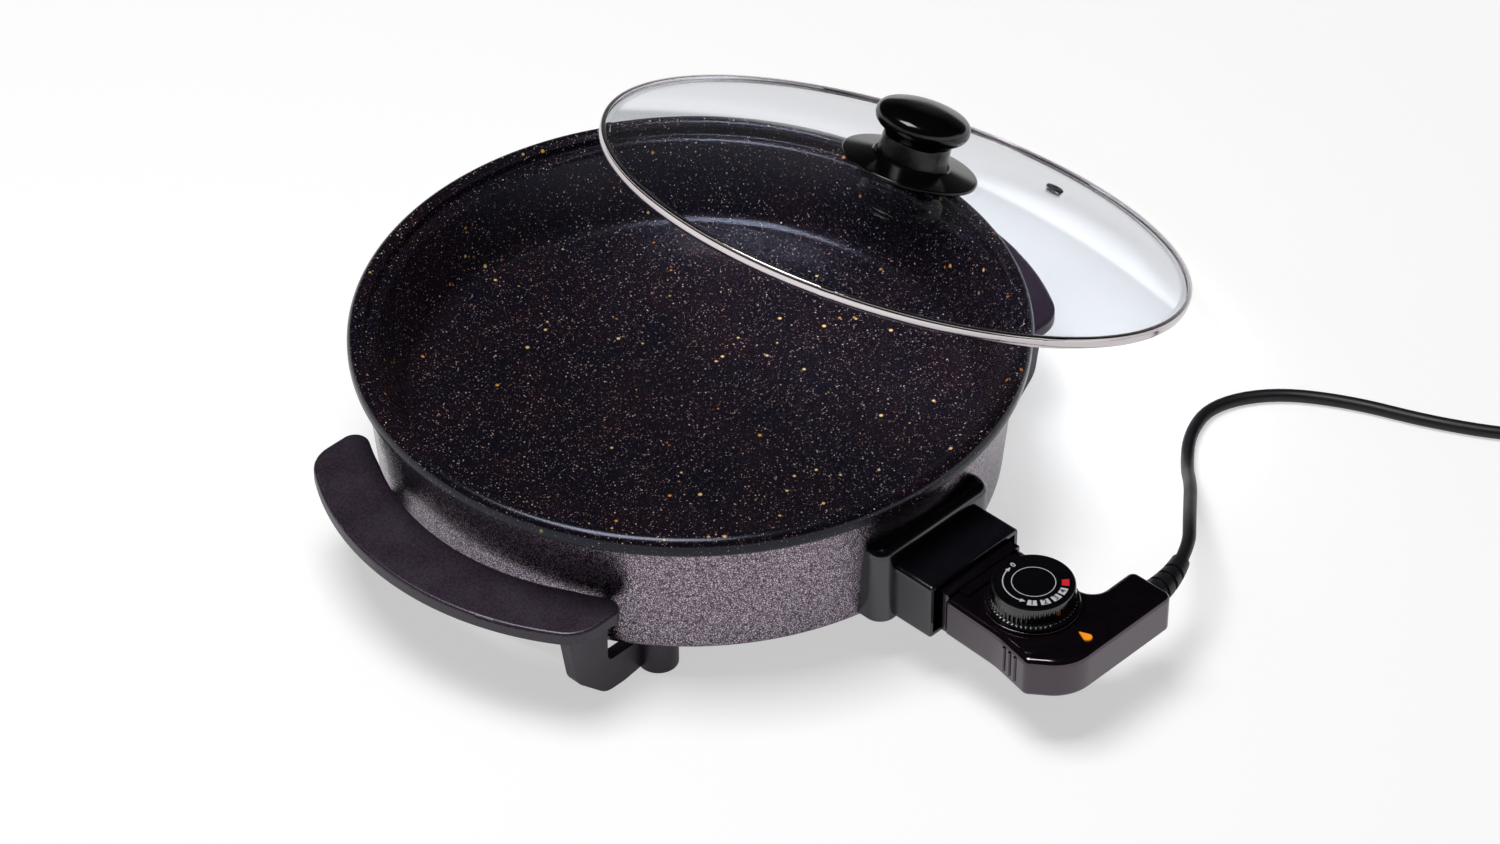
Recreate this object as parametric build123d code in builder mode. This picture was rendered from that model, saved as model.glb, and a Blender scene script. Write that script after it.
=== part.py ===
from build123d import *
import math
import os

os.makedirs("parts", exist_ok=True)

# Millimetres, +Z up. The origin is on the pan's axis, on the flat underside of the outer shell.

# Inner pan, spun from one coated aluminium sheet
liner_wall = 2.0
floor_level = 37.0
floor_corner = 12.0
seat_level = 86.0
seat_corner = 3.0
rim_crest = 92.5
rim_radius = 200.0
rim_width = 10.5
seat_width = 5.5
wall_lean = 16.5
seat_radius = rim_radius - rim_width
seat_inner_radius = seat_radius - seat_width
wall_foot_radius = seat_inner_radius - wall_lean
rim_inner_rounding = 3.0
rim_outer_rounding = 4.0
rim_drop = 7.0
rim_return = 5.0
rim_return_rounding = 2.3

# Outer shell, pressed from steel sheet, with a flange that the rolled rim grips
shell_wall = 1.2
shell_lean = 8.0
shell_base_rounding = 5.0
shell_fit = 0.4
hem_gap = 0.2
flange_tip_gap = 1.4
hem_inner_radius = seat_radius + liner_wall
shell_top_radius = hem_inner_radius + shell_fit + shell_wall
shell_base_radius = shell_top_radius - shell_lean
bead_radius = 132.0
bead_half_width = 6.0
bead_flank = 2.5
bead_height = 1.6
bead_rounding = 2.0

# Side handles: crescent grips with two legs each
table_level = -25.5
handle_top = 42.5
handle_thickness = 8.0
grip_reach = 52.1
grip_outer_bow = 0.7
grip_outer_radius = shell_base_radius - grip_outer_bow
grip_outer_shift = shell_base_radius + grip_reach - grip_outer_radius
grip_inner_reach = 11.8
grip_inner_bow = 25.5
grip_inner_radius = shell_base_radius - grip_inner_bow
grip_inner_shift = shell_base_radius + grip_inner_reach - grip_inner_radius
grip_end_inset = 73.1
grip_half_length = shell_base_radius - grip_end_inset
grip_wall_gap = 4.0
grip_outer_corner = 24.0
grip_inner_corner = 9.0
grip_edge_rounding = 2.0
grip_skin = 2.6
grip_rib_width = 2.4
grip_rib_spacing = 30.0
grip_rib_count = 7
leg_inset = 16.1
leg_width = 32.0
leg_knee_draw = 7.5
leg_knee_level = -4.0
leg_inner_x = shell_base_radius - leg_inset
leg_outer_x = leg_inner_x + leg_width
leg_knee_x = leg_outer_x - leg_knee_draw
leg_end_inset = 19.0
leg_inner_y = grip_half_length - leg_end_inset
leg_thickness = 8.0
arm_top = -3.0
arm_depth = 18.5
foot_inset = 29.1
foot_length = 15.0
foot_inner_x = shell_base_radius - foot_inset
foot_outer_x = foot_inner_x + foot_length
boss_inset = 54.1
boss_x = shell_base_radius - boss_inset
boss_end_inset = 9.0
boss_y = grip_half_length - boss_end_inset
boss_radius = 11.8
boss_height = 24.9
boss_well_radius = 5.4
boss_well_depth = 10.0
handle_screw_radius = 2.1
handle_screw_head_radius = 4.2
handle_screw_head_height = 3.0
handle_nut_radius = 4.2
handle_nut_height = 3.4
screw_clearance = 0.3

# Heating element and its clips, in the space between pan and shell
element_radius = 3.5
element_ring_radius = 95.0
element_bend_radius = 12.0
quarter_turn = 90
element_gap = 0.1
clip_sheet = 1.0
clip_width = 6.0
clip_foot = 7.0
clip_count = 4

# Socket on the front wall
socket_level = 24.5
flange_half_width = 47.0
flange_depth = 12.9
flange_front = shell_base_radius + flange_depth
flange_bottom = 5.5
flange_top = 57.0
flange_corner = 10.0
flange_rounding = 6.5
hood_half_width = 37.0
hood_depth = 28.0
hood_front = flange_front + hood_depth
hood_bottom = 7.0
hood_top = 44.5
hood_wall = 3.0
hood_rounding = 3.0
hood_edge_rounding = 1.2
window_half_width = 27.0
window_bottom = 12.0
window_top = 38.0
block_setback = 2.6
block_front = shell_base_radius - block_setback
block_depth = 16.5
block_half_width = 25.0
block_bottom = 14.0
block_top = 35.0
pin_spacing = 38.0
pin_radius = 2.5
pin_root = 10.5
pin_tip_setback = 5.0
pin_inner_end = block_front - pin_root
pin_outer_end = hood_front - pin_tip_setback
guide_radius = 4.7
guide_bore = 3.7
guide_reach = 48.5
guide_inner_end = block_front - guide_reach
guide_end_wall = 3.0
saddle_half_width = 7.0
saddle_length = 14.0
socket_screw_x = 38.0
socket_screw_level = 47.0
socket_screw_radius = 1.8
socket_screw_head_radius = 3.4
socket_screw_head_height = 2.4
socket_screw_length = 11.0
bore_clearance = 0.15

# Plug-in temperature control
case_bottom = 11.5
case_top = 37.5
case_wall = 2.2
case_top_rounding = 4.0
case_bottom_rounding = 2.5
case_gap = 5.0
dial_setback = 39.0
dial_inset = 51.0
case_back = hood_front + case_gap
dial_y = case_back + dial_setback
case_front = dial_y + dial_inset
case_left_back = 31.5
case_left_waist = 33.0
case_left_front = 22.0
case_right_back = 31.0
case_right_waist = 28.0
arm_end_x = 62.0
arm_width = 30.5
arm_back = case_front - arm_width
grip_flare_x = 38.5
grip_flare_setback = 22.0
grip_flare_y = case_front - grip_flare_setback
neck_half_width = 30.0
neck_depth = 21.0
neck_front = hood_front - neck_depth
neck_bottom = 12.0
neck_top = 39.5
carrier_front_gap = 1.0
carrier_depth = 24.0
carrier_clearance = 0.1
sleeve_radius = 3.7
sleeve_bore_clearance = 0.2
sleeve_front_gap = 2.0
sleeve_length = 21.0
probe_radius = 3.2
probe_tip_gap = 3.0
probe_tip = guide_inner_end + guide_end_wall + probe_tip_gap
probe_collar_radius = 5.0
probe_collar_length = 3.0
grip_bar_radius = 1.1
grip_bar_count = 3
case_post_radius = 4.0
case_screw_radius = 1.5
case_screw_head_radius = 2.7
case_screw_head_height = 2.0
case_screw_well_depth = 6.0
case_screw_reach = 9.0
frame_half_width = 11.0
frame_sheet = 1.2
frame_level = 16.0
frame_setback = 5.0
frame_length = 50.0
frame_front = case_back + frame_setback
frame_back = frame_front + frame_length
frame_post_width = 14.0
frame_post_depth = 6.0
frame_post_setback = 8.0
frame_lip_top = 31.0
blade_sheet = 0.8
blade_width = 9.0
stack_height = 4.0
spring_sheet = 0.5
stack_length = 9.0
insulator_setback = 1.0
ridge_half_width = 22.0
ridge_width = 6.5
ridge_gap = 1.9
ridge_height = 1.8

# Dial on the control
collar_radius = 27.6
ridge_front = dial_y - collar_radius - ridge_gap
ridge_back = ridge_front - ridge_width
collar_inner_radius = 22.5
collar_height = 1.8
dial_gap = 0.4
dial_flange_radius = 27.0
dial_flange_height = 1.8
dial_foot_radius = 25.0
dial_head_radius = 23.6
dial_top = 54.0
dial_chamfer = 1.0
dial_wall = 3.0
dial_skin = 3.2
dial_hub_radius = 6.0
flute_count = 48
flute_radius = 0.9
disc_radius = 21.5
disc_thickness = 0.8
spindle_radius = 3.0
spindle_flat = 2.2
spindle_tip_gap = 0.3
spindle_clearance = 0.15
lens_inset = 10.0
lens_length = 6.5
lens_y = case_front - lens_inset
lens_radius = 2.7
lens_tip_y = lens_y - lens_length
lens_arc_start = 160
lens_arc_turn = 220
lens_height = 0.9
lens_seat_clearance = 0.15
lamp_radius = 2.3
lamp_gap = 0.3

# Strain relief and cord
relief_inset = 17.0
relief_y = case_front - relief_inset
relief_groove_radius = 6.2
relief_collar_radius = 8.2
relief_collar_length = 3.4
relief_tail_radius = 4.8
relief_tail_end_x = 38.0
relief_root_radius = 8.8
relief_tip_radius = 5.6
relief_length = 35.6
relief_bend = 22.6
relief_bend_radius = math.degrees(relief_length / relief_bend)
relief_section_count = 5
relief_rib_count = 3
relief_rib_gap = 2.6
relief_rib_spacing = 8.2
relief_rib_start = 6.2
relief_rib_depth = 1.6
clamp_x = 46.0
clamp_width = 8.0
clamp_half_span = 10.0
clamp_sheet = 1.6
clamp_post = 4.0
cord_radius = 4.0
coil_outer_ring = 50.3
coil_ring_step = 8.6
coil_inner_step = 5.6
coil_layer_step = 8.5
coil_lift = 5.5
coil_tail = 26.0

# Mains plug at the far end of the cord
plug_face_radius = 18.5
plug_flat = 18.0
plug_head_length = 19.0
plug_shoulder_length = 20.0
plug_shoulder_radius = 9.0
plug_boot_length = 22.0
plug_boot_radius = 5.6
plug_pin_spacing = 19.0
plug_pin_radius = 2.4
plug_pin_length = 19.0
plug_slot_width = 7.0
plug_slot_depth = 2.6
plug_contact_sheet = 0.8
plug_contact_gap = 0.2
plug_rib_count = 3
plug_rib_spacing = 5.0
plug_rib_gap = 2.0

# Lid: glass in a steel band, with a knob. It is held open, leaning on the rim.
lid_tilt = 23.0
lid_overhang = 23.7
lid_x = rim_radius - lid_overhang
lid_y = 0.2
lid_z = 74.8
lid_fit = 3.5
band_radius = seat_radius - lid_fit
band_sheet = 0.9
band_height = 7.0
band_lip = 3.0
glass_thickness = 4.5
glass_rise = 31.0
glass_brim = 5.0
glass_gap = 0.35
knob_base_radius = 42.5
knob_base_edge = 2.6
knob_foot_radius = 23.7
knob_foot_level = 36.0
knob_waist_radius = 22.0
knob_cap_under = 53.0
knob_cap_radius = 29.5
knob_cap_level = 60.0
knob_top = 70.0
lid_seat_gap = 0.15
lid_screw_radius = 2.5
lid_screw_head_radius = 5.5
lid_screw_head_height = 3.0
lid_screw_reach = 22.0
lid_washer_radius = 12.0
lid_washer_thickness = 1.6
lid_hole_radius = 4.0
vent_distance = 112.3
vent_angle = -18.4
vent_hole_radius = 4.2
vent_fit = 0.9
vent_bore = 1.9
vent_lip_radius = 5.6
vent_lip = 1.4

# Inner pan
# The path is the coated side of the sheet, from the middle of the floor to the end of the rolled rim.
rim_end_level = rim_crest - rim_drop
with BuildPart() as pan_liner:
    with BuildSketch(Plane.XZ):
        with BuildLine():
            FilletPolyline(
                (0, floor_level),
                (wall_foot_radius, floor_level),
                (seat_inner_radius, seat_level),
                (seat_radius, seat_level),
                (seat_radius, rim_crest),
                (rim_radius, rim_crest),
                (rim_radius, rim_end_level),
                (rim_radius - rim_return, rim_end_level),
                radius=[
                    floor_corner,
                    seat_corner,
                    seat_corner / 3,
                    rim_inner_rounding,
                    rim_outer_rounding,
                    rim_return_rounding,
                ],
            )
            offset(amount=liner_wall, side=Side.RIGHT)
        make_face()
    revolve(axis=Axis.Z)
pan_liner.part.label = "pan_liner"

# Outer shell, with a stiffening bead pressed into its base round the flat middle
flange_level = rim_crest - liner_wall - hem_gap - shell_wall
flange_radius = rim_radius - liner_wall - flange_tip_gap
boss_places = [(x, y) for x in (-boss_x, boss_x) for y in (-boss_y, boss_y)]


def shell_radius_at(level):
    return shell_base_radius + (shell_top_radius - shell_base_radius) * level / flange_level


# The socket's screws start where their heads clear the curved wall inside the shell
screw_places = [(-socket_screw_x, socket_screw_level), (socket_screw_x, socket_screw_level)]
screw_wall_radius = shell_radius_at(socket_screw_level) - shell_wall
head_edge_x = socket_screw_x + socket_screw_head_radius
head_front = math.sqrt(screw_wall_radius**2 - head_edge_x**2) - screw_clearance
with BuildPart() as outer_shell:
    with BuildSketch(Plane.XZ):
        with BuildLine():
            FilletPolyline(
                (0, 0),
                (bead_radius - bead_half_width, 0),
                (bead_radius - bead_half_width + bead_flank, bead_height),
                (bead_radius + bead_half_width - bead_flank, bead_height),
                (bead_radius + bead_half_width, 0),
                (shell_base_radius, 0),
                (shell_top_radius, flange_level),
                (flange_radius, flange_level),
                radius=4 * [bead_rounding] + [shell_base_rounding, shell_wall],
            )
            offset(amount=shell_wall, side=Side.LEFT)
        make_face()
    revolve(axis=Axis.Z)
    with BuildSketch(Plane.XZ):
        with Locations((0, (window_bottom + window_top) / 2)):
            Rectangle(2 * window_half_width, window_top - window_bottom)
    extrude(amount=shell_top_radius, mode=Mode.SUBTRACT)
    with BuildSketch(Plane.XY):
        with Locations(*boss_places):
            Circle(handle_screw_radius + screw_clearance)
    extrude(amount=shell_wall, mode=Mode.SUBTRACT)
    with BuildSketch(Plane.XZ.offset(head_front)):
        with Locations(*screw_places):
            Circle(socket_screw_radius + screw_clearance)
    extrude(amount=socket_screw_length, mode=Mode.SUBTRACT)
outer_shell.part.label = "outer_shell"

# The outside of the shell as a solid, to cut the back of the socket flange
with BuildPart() as shell_envelope:
    with BuildSketch(Plane.XZ):
        with BuildLine():
            Polyline(
                (0, 0),
                (shell_base_radius, 0),
                (shell_top_radius, flange_level),
                (0, flange_level),
                close=True,
            )
        make_face()
    revolve(axis=Axis.Z)


# Heating element: a ring under the pan floor with both ends bent out to the terminal block
element_level = floor_level - liner_wall - element_gap - element_radius
pin_x = pin_spacing / 2
block_back = block_front - block_depth
ring_gap = math.degrees(math.asin((pin_x + element_bend_radius) / (element_ring_radius + element_bend_radius)))
bend_y = (element_ring_radius + element_bend_radius) * math.cos(math.radians(ring_gap))
with BuildPart() as heating_element:
    with BuildLine(Plane.XY.offset(element_level)) as element_path:
        lead_in = Line((pin_x, -block_back), (pin_x, -bend_y))
        bend_in = JernArc(lead_in @ 1, lead_in % 1, element_bend_radius, ring_gap - quarter_turn)
        ring = JernArc(bend_in @ 1, bend_in % 1, element_ring_radius, 360 - 2 * ring_gap)
        bend_out = JernArc(ring @ 1, ring % 1, element_bend_radius, ring_gap - quarter_turn)
        Line(bend_out @ 1, (-pin_x, -block_back))
    with BuildSketch(Plane(origin=lead_in @ 0, x_dir=(1, 0, 0), z_dir=lead_in % 0)):
        Circle(element_radius)
    sweep(path=element_path.line)
heating_element.part.label = "heating_element"

# Element clips: straps that hang the ring from the pan floor
clip_top = floor_level - liner_wall
clip_bore = element_radius + element_gap
clip_drop = clip_top - element_level + clip_bore + clip_sheet
with BuildPart() as element_clip:
    with BuildSketch(Plane.XZ):
        with Locations((element_ring_radius, element_level)):
            Circle(clip_bore + clip_sheet)
        with Locations((element_ring_radius, (element_level + clip_top) / 2)):
            Rectangle(2 * (clip_bore + clip_sheet), clip_top - element_level)
        with Locations((element_ring_radius, clip_top - clip_sheet / 2)):
            Rectangle(2 * (clip_bore + clip_foot), clip_sheet)
        with Locations((element_ring_radius, element_level)):
            Circle(clip_bore, mode=Mode.SUBTRACT)
        with Locations((element_ring_radius, (element_level + clip_top) / 2)):
            Rectangle(2 * clip_bore, clip_top - element_level, mode=Mode.SUBTRACT)
        with Locations((element_ring_radius, clip_top - clip_drop / 2)):
            Rectangle(2 * (clip_bore + clip_foot), clip_drop, mode=Mode.INTERSECT)
    extrude(amount=clip_width / 2, both=True)
with BuildPart() as element_clips:
    with PolarLocations(0, clip_count, start_angle=45):
        add(element_clip.part)
element_clips.part.label = "element_clips"

# Probe guide: a closed tube that takes the probe, with a saddle up to the pan floor
cavity_back = flange_front + hood_wall
guide_plane = Plane(origin=(0, -guide_inner_end, socket_level), x_dir=(1, 0, 0), z_dir=(0, -1, 0))
with BuildPart() as probe_guide:
    with BuildSketch(guide_plane):
        Circle(guide_radius)
    extrude(amount=cavity_back - guide_inner_end)
    with BuildSketch(Plane.XY.offset(socket_level)):
        with Locations((0, -guide_inner_end - saddle_length / 2)):
            Rectangle(2 * saddle_half_width, saddle_length)
    extrude(amount=clip_top - socket_level)
    with BuildSketch(guide_plane.offset(guide_end_wall)):
        Circle(guide_bore)
    extrude(amount=cavity_back, mode=Mode.SUBTRACT)
probe_guide.part.label = "probe_guide"

# Terminal block: ceramic, between the element's ends and the socket
pin_places = [(-pin_x, 0), (pin_x, 0)]
wall_plane = Plane(origin=(0, 0, socket_level), x_dir=(1, 0, 0), z_dir=(0, -1, 0))
with BuildPart() as terminal_block:
    with BuildSketch(wall_plane.offset(block_back)):
        with Locations((0, (block_top + block_bottom) / 2 - socket_level)):
            RectangleRounded(2 * block_half_width, block_top - block_bottom, 2)
    extrude(amount=block_depth)
    with BuildSketch(wall_plane.offset(block_back)):
        Circle(guide_radius + bore_clearance)
    extrude(amount=block_depth, mode=Mode.SUBTRACT)
    with BuildSketch(wall_plane.offset(pin_inner_end)):
        with Locations(*pin_places):
            Circle(pin_radius + bore_clearance)
    extrude(amount=block_front - pin_inner_end, mode=Mode.SUBTRACT)
terminal_block.part.label = "terminal_block"

# Terminal pins
with BuildPart() as terminal_pins:
    with BuildSketch(wall_plane.offset(pin_inner_end)):
        with Locations(*pin_places):
            Circle(pin_radius)
    extrude(amount=pin_outer_end - pin_inner_end)
    fillet(terminal_pins.faces().sort_by(Axis.Y)[0:2].edges(), radius=pin_radius * 0.6)
terminal_pins.part.label = "terminal_pins"

# Socket housing: a flange shaped to the wall, a hood round the pins and a spigot through the wall
with BuildPart() as socket_housing:
    with BuildSketch(Plane.XY.offset(flange_bottom)) as flange_plan:
        with Locations((0, -(flange_front + block_front / 2) / 2)):
            Rectangle(2 * flange_half_width, flange_front - block_front / 2)
        fillet(flange_plan.vertices().group_by(Axis.Y)[0], radius=flange_corner)
    extrude(amount=flange_top - flange_bottom)
    top_edges = socket_housing.faces().sort_by(Axis.Z)[-1].edges()
    fillet(top_edges.filter_by_position(Axis.Y, -flange_front - 1, -flange_front + 2 * flange_corner), flange_rounding)
    add(shell_envelope.part, mode=Mode.SUBTRACT)
    with BuildSketch(wall_plane.offset(flange_front - flange_rounding)):
        with Locations((0, (hood_top + hood_bottom) / 2 - socket_level)):
            RectangleRounded(2 * hood_half_width, hood_top - hood_bottom, hood_rounding)
    extrude(amount=hood_front - flange_front + flange_rounding)
    fillet(socket_housing.faces().sort_by(Axis.Y)[0].edges(), radius=hood_edge_rounding)
    with BuildSketch(wall_plane.offset(cavity_back)):
        with Locations((0, (hood_top + hood_bottom) / 2 - socket_level)):
            Rectangle(2 * (hood_half_width - hood_wall), hood_top - hood_bottom - 2 * hood_wall)
    extrude(amount=hood_front - cavity_back, mode=Mode.SUBTRACT)
    with BuildSketch(wall_plane.offset(block_front)):
        with Locations((0, (block_top + block_bottom) / 2 - socket_level)):
            Rectangle(2 * (block_half_width - 1), block_top - block_bottom)
    extrude(amount=flange_front - block_front)
    with BuildSketch(wall_plane.offset(block_front)):
        with Locations(*pin_places):
            Circle(pin_radius + bore_clearance)
        Circle(guide_radius + bore_clearance)
    extrude(amount=cavity_back - block_front, mode=Mode.SUBTRACT)
    with BuildSketch(Plane.XZ.offset(block_front)):
        with Locations(*screw_places):
            Circle(socket_screw_radius + bore_clearance)
    extrude(amount=socket_screw_length + 1, mode=Mode.SUBTRACT)
socket_housing.part.label = "socket_housing"

# Socket screws, driven from inside the double wall
with BuildPart() as socket_screws:
    with BuildSketch(Plane.XZ.offset(head_front)):
        with Locations(*screw_places):
            Circle(socket_screw_radius)
    extrude(amount=socket_screw_length)
    with BuildSketch(Plane.XZ.offset(head_front - socket_screw_head_height)):
        with Locations(*screw_places):
            Circle(socket_screw_head_radius)
    extrude(amount=socket_screw_head_height)
socket_screws.part.label = "socket_screws"

# Handles: a crescent grip, hollow underneath, with two leg plates, arms and screw bosses
grip_bottom = handle_top - handle_thickness
grip_wall_radius = shell_radius_at(handle_top) + grip_wall_gap
leg_places = (-leg_inner_y - leg_thickness, leg_inner_y)
with BuildPart() as left_handle:
    with BuildSketch(Plane.XY.offset(grip_bottom)) as grip_plan:
        with Locations((-grip_outer_shift, 0)):
            Circle(grip_outer_radius)
        with Locations((-grip_inner_shift, 0)):
            Circle(grip_inner_radius, mode=Mode.SUBTRACT)
        Circle(grip_wall_radius, mode=Mode.SUBTRACT)
        with Locations((-grip_outer_radius, 0)):
            Rectangle(grip_outer_radius, 2 * grip_half_length, mode=Mode.INTERSECT)
        ends = grip_plan.vertices().group_by(Axis.Y)
        fillet([ends[0].sort_by(Axis.X)[0], ends[-1].sort_by(Axis.X)[0]], radius=grip_outer_corner)
        ends = grip_plan.vertices().group_by(Axis.Y)
        fillet([ends[0].sort_by(Axis.X)[-1], ends[-1].sort_by(Axis.X)[-1]], radius=grip_inner_corner)
    extrude(amount=handle_thickness)
    fillet(left_handle.faces().sort_by(Axis.Z)[-1].edges(), radius=grip_edge_rounding)
    with BuildSketch(Plane.XY.offset(grip_bottom)):
        offset(grip_plan.sketch, amount=-grip_skin)
        with GridLocations(1, grip_rib_spacing, 1, grip_rib_count):
            Rectangle(4 * grip_outer_radius, grip_rib_width, mode=Mode.SUBTRACT)
    extrude(amount=handle_thickness - grip_skin, mode=Mode.SUBTRACT)
    for leg_y in leg_places:
        with BuildSketch(Plane(origin=(0, leg_y, 0), x_dir=(1, 0, 0), z_dir=(0, 1, 0))):
            with BuildLine():
                FilletPolyline(
                    (-leg_inner_x, -(handle_top - grip_skin)),
                    (-leg_inner_x, -arm_top),
                    (-boss_x, -arm_top),
                    (-boss_x, -(arm_top - arm_depth)),
                    (-foot_inner_x, -table_level),
                    (-foot_outer_x, -table_level),
                    (-leg_knee_x, -leg_knee_level),
                    (-leg_outer_x, -(handle_top - grip_skin)),
                    radius=[0, 4, 0, 0, 8, 14, 14, 0],
                    close=True,
                )
            make_face()
        extrude(amount=leg_thickness)
    with BuildSketch(Plane.XY):
        with Locations((-boss_x, -boss_y), (-boss_x, boss_y)):
            Circle(boss_radius)
    extrude(amount=-boss_height)
    with Locations(Plane((-boss_x, -boss_y, -boss_height), z_dir=(0, 0, -1))):
        CounterBoreHole(handle_screw_radius + screw_clearance, boss_well_radius, boss_well_depth)
    with Locations(Plane((-boss_x, boss_y, -boss_height), z_dir=(0, 0, -1))):
        CounterBoreHole(handle_screw_radius + screw_clearance, boss_well_radius, boss_well_depth)
left_handle.part.label = "left_handle"

with BuildPart() as right_handle:
    mirror(left_handle.part, about=Plane.YZ)
right_handle.part.label = "right_handle"

# Handle screws and nuts
handle_screw_top = shell_wall + handle_nut_height + 1
screw_shoulder = boss_well_depth - boss_height
with BuildPart() as handle_screws:
    with BuildSketch(Plane.XY.offset(screw_shoulder)):
        with Locations(*boss_places):
            Circle(handle_screw_radius)
    extrude(amount=handle_screw_top - screw_shoulder)
    with BuildSketch(Plane.XY.offset(screw_shoulder)):
        with Locations(*boss_places):
            Circle(handle_screw_head_radius)
    extrude(amount=-handle_screw_head_height)
    with BuildSketch(Plane.XY.offset(screw_shoulder - handle_screw_head_height)):
        with Locations(*boss_places):
            Rectangle(handle_screw_head_radius, 0.9)
            Rectangle(0.9, handle_screw_head_radius)
    extrude(amount=handle_screw_head_height / 2, mode=Mode.SUBTRACT)
handle_screws.part.label = "handle_screws"

with BuildPart() as handle_nuts:
    with BuildSketch(Plane.XY.offset(shell_wall)):
        with Locations(*boss_places):
            RegularPolygon(handle_nut_radius, 6)
            Circle(handle_screw_radius + bore_clearance, mode=Mode.SUBTRACT)
    extrude(amount=handle_nut_height)
handle_nuts.part.label = "handle_nuts"

# Temperature control
case_outline = [
    (-case_left_back, -case_back),
    (-case_left_waist, -dial_y - 2),
    (-grip_flare_x, -grip_flare_y),
    (-case_left_front, -case_front + 0.5),
    (arm_end_x, -case_front),
    (arm_end_x, -arm_back),
    (case_right_waist, -arm_back),
    (case_right_back, -case_back),
]
case_corners = [4, 60, 5, 28, 5, 5, 11, 4]
post_places = [
    (-22, -case_back - 15),
    (22, -case_back - 15),
    (-25, -grip_flare_y - 1),
    (30, -case_front + 10),
]
seam = socket_level
flare_start = Vector(-case_left_waist, -dial_y - 2)
flare_end = Vector(-grip_flare_x, -grip_flare_y)
grip_bars = [flare_start + (flare_end - flare_start) * (0.3 + 0.18 * i) for i in range(grip_bar_count)]
relief_plane = Plane(origin=(arm_end_x, -relief_y, socket_level), x_dir=(0, 1, 0), z_dir=(1, 0, 0))
carrier_half = neck_half_width - case_wall
clamp_post_y = clamp_half_span - clamp_post / 2

with BuildPart() as control_lower_case:
    with BuildSketch(Plane.XY.offset(case_bottom)) as lower_plan:
        with BuildLine():
            FilletPolyline(*case_outline, radius=case_corners, close=True)
        make_face()
    extrude(amount=seam - case_bottom)
    fillet(control_lower_case.faces().sort_by(Axis.Z)[0].edges(), radius=case_bottom_rounding)
    with BuildSketch(Plane.XY.offset(neck_bottom)):
        with Locations((0, -(neck_front + case_back + case_wall) / 2)):
            Rectangle(2 * neck_half_width, case_back + case_wall - neck_front)
    extrude(amount=seam - neck_bottom)
    with BuildSketch(Plane.XY.offset(case_bottom + case_wall + case_bottom_rounding)):
        with Locations(*grip_bars):
            Circle(grip_bar_radius)
    extrude(amount=seam - case_bottom - case_wall - case_bottom_rounding)
    with BuildSketch(Plane.XY.offset(case_bottom + case_wall)):
        offset(lower_plan.sketch, amount=-case_wall)
    extrude(amount=seam, mode=Mode.SUBTRACT)
    with BuildSketch(Plane.XY.offset(neck_bottom + case_wall)):
        with Locations((0, -(neck_front + case_back + 2 * case_wall) / 2)):
            Rectangle(2 * carrier_half, case_back + 2 * case_wall - neck_front)
    extrude(amount=seam, mode=Mode.SUBTRACT)
    with BuildSketch(Plane.XY.offset(case_bottom)):
        with Locations(*post_places):
            Circle(case_post_radius)
    extrude(amount=seam - case_bottom)
    with BuildSketch(Plane.XY.offset(case_bottom + case_wall)):
        with Locations((0, -frame_front - frame_post_setback), (0, -frame_back + frame_post_setback)):
            Rectangle(frame_post_width, frame_post_depth)
        with Locations((0, -lens_y)):
            Circle(lamp_radius + 1)
    extrude(amount=frame_level - case_bottom - case_wall)
    with BuildSketch(Plane.XY.offset(case_bottom + case_wall)):
        with Locations((clamp_x, -relief_y - clamp_post_y), (clamp_x, -relief_y + clamp_post_y)):
            Rectangle(clamp_width, clamp_post)
    extrude(amount=seam - case_bottom - case_wall)
    with BuildSketch(relief_plane.offset(-case_wall - 0.01)):
        Circle(relief_groove_radius + bore_clearance)
    extrude(amount=case_wall + 0.02, mode=Mode.SUBTRACT)
    with BuildSketch(Plane.XY.offset(case_bottom)):
        with Locations(*post_places):
            Circle(case_screw_head_radius + screw_clearance)
    extrude(amount=case_screw_well_depth, mode=Mode.SUBTRACT)
    with BuildSketch(Plane.XY.offset(case_bottom)):
        with Locations(*post_places):
            Circle(case_screw_radius + screw_clearance)
    extrude(amount=seam, mode=Mode.SUBTRACT)
control_lower_case.part.label = "control_lower_case"

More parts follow.
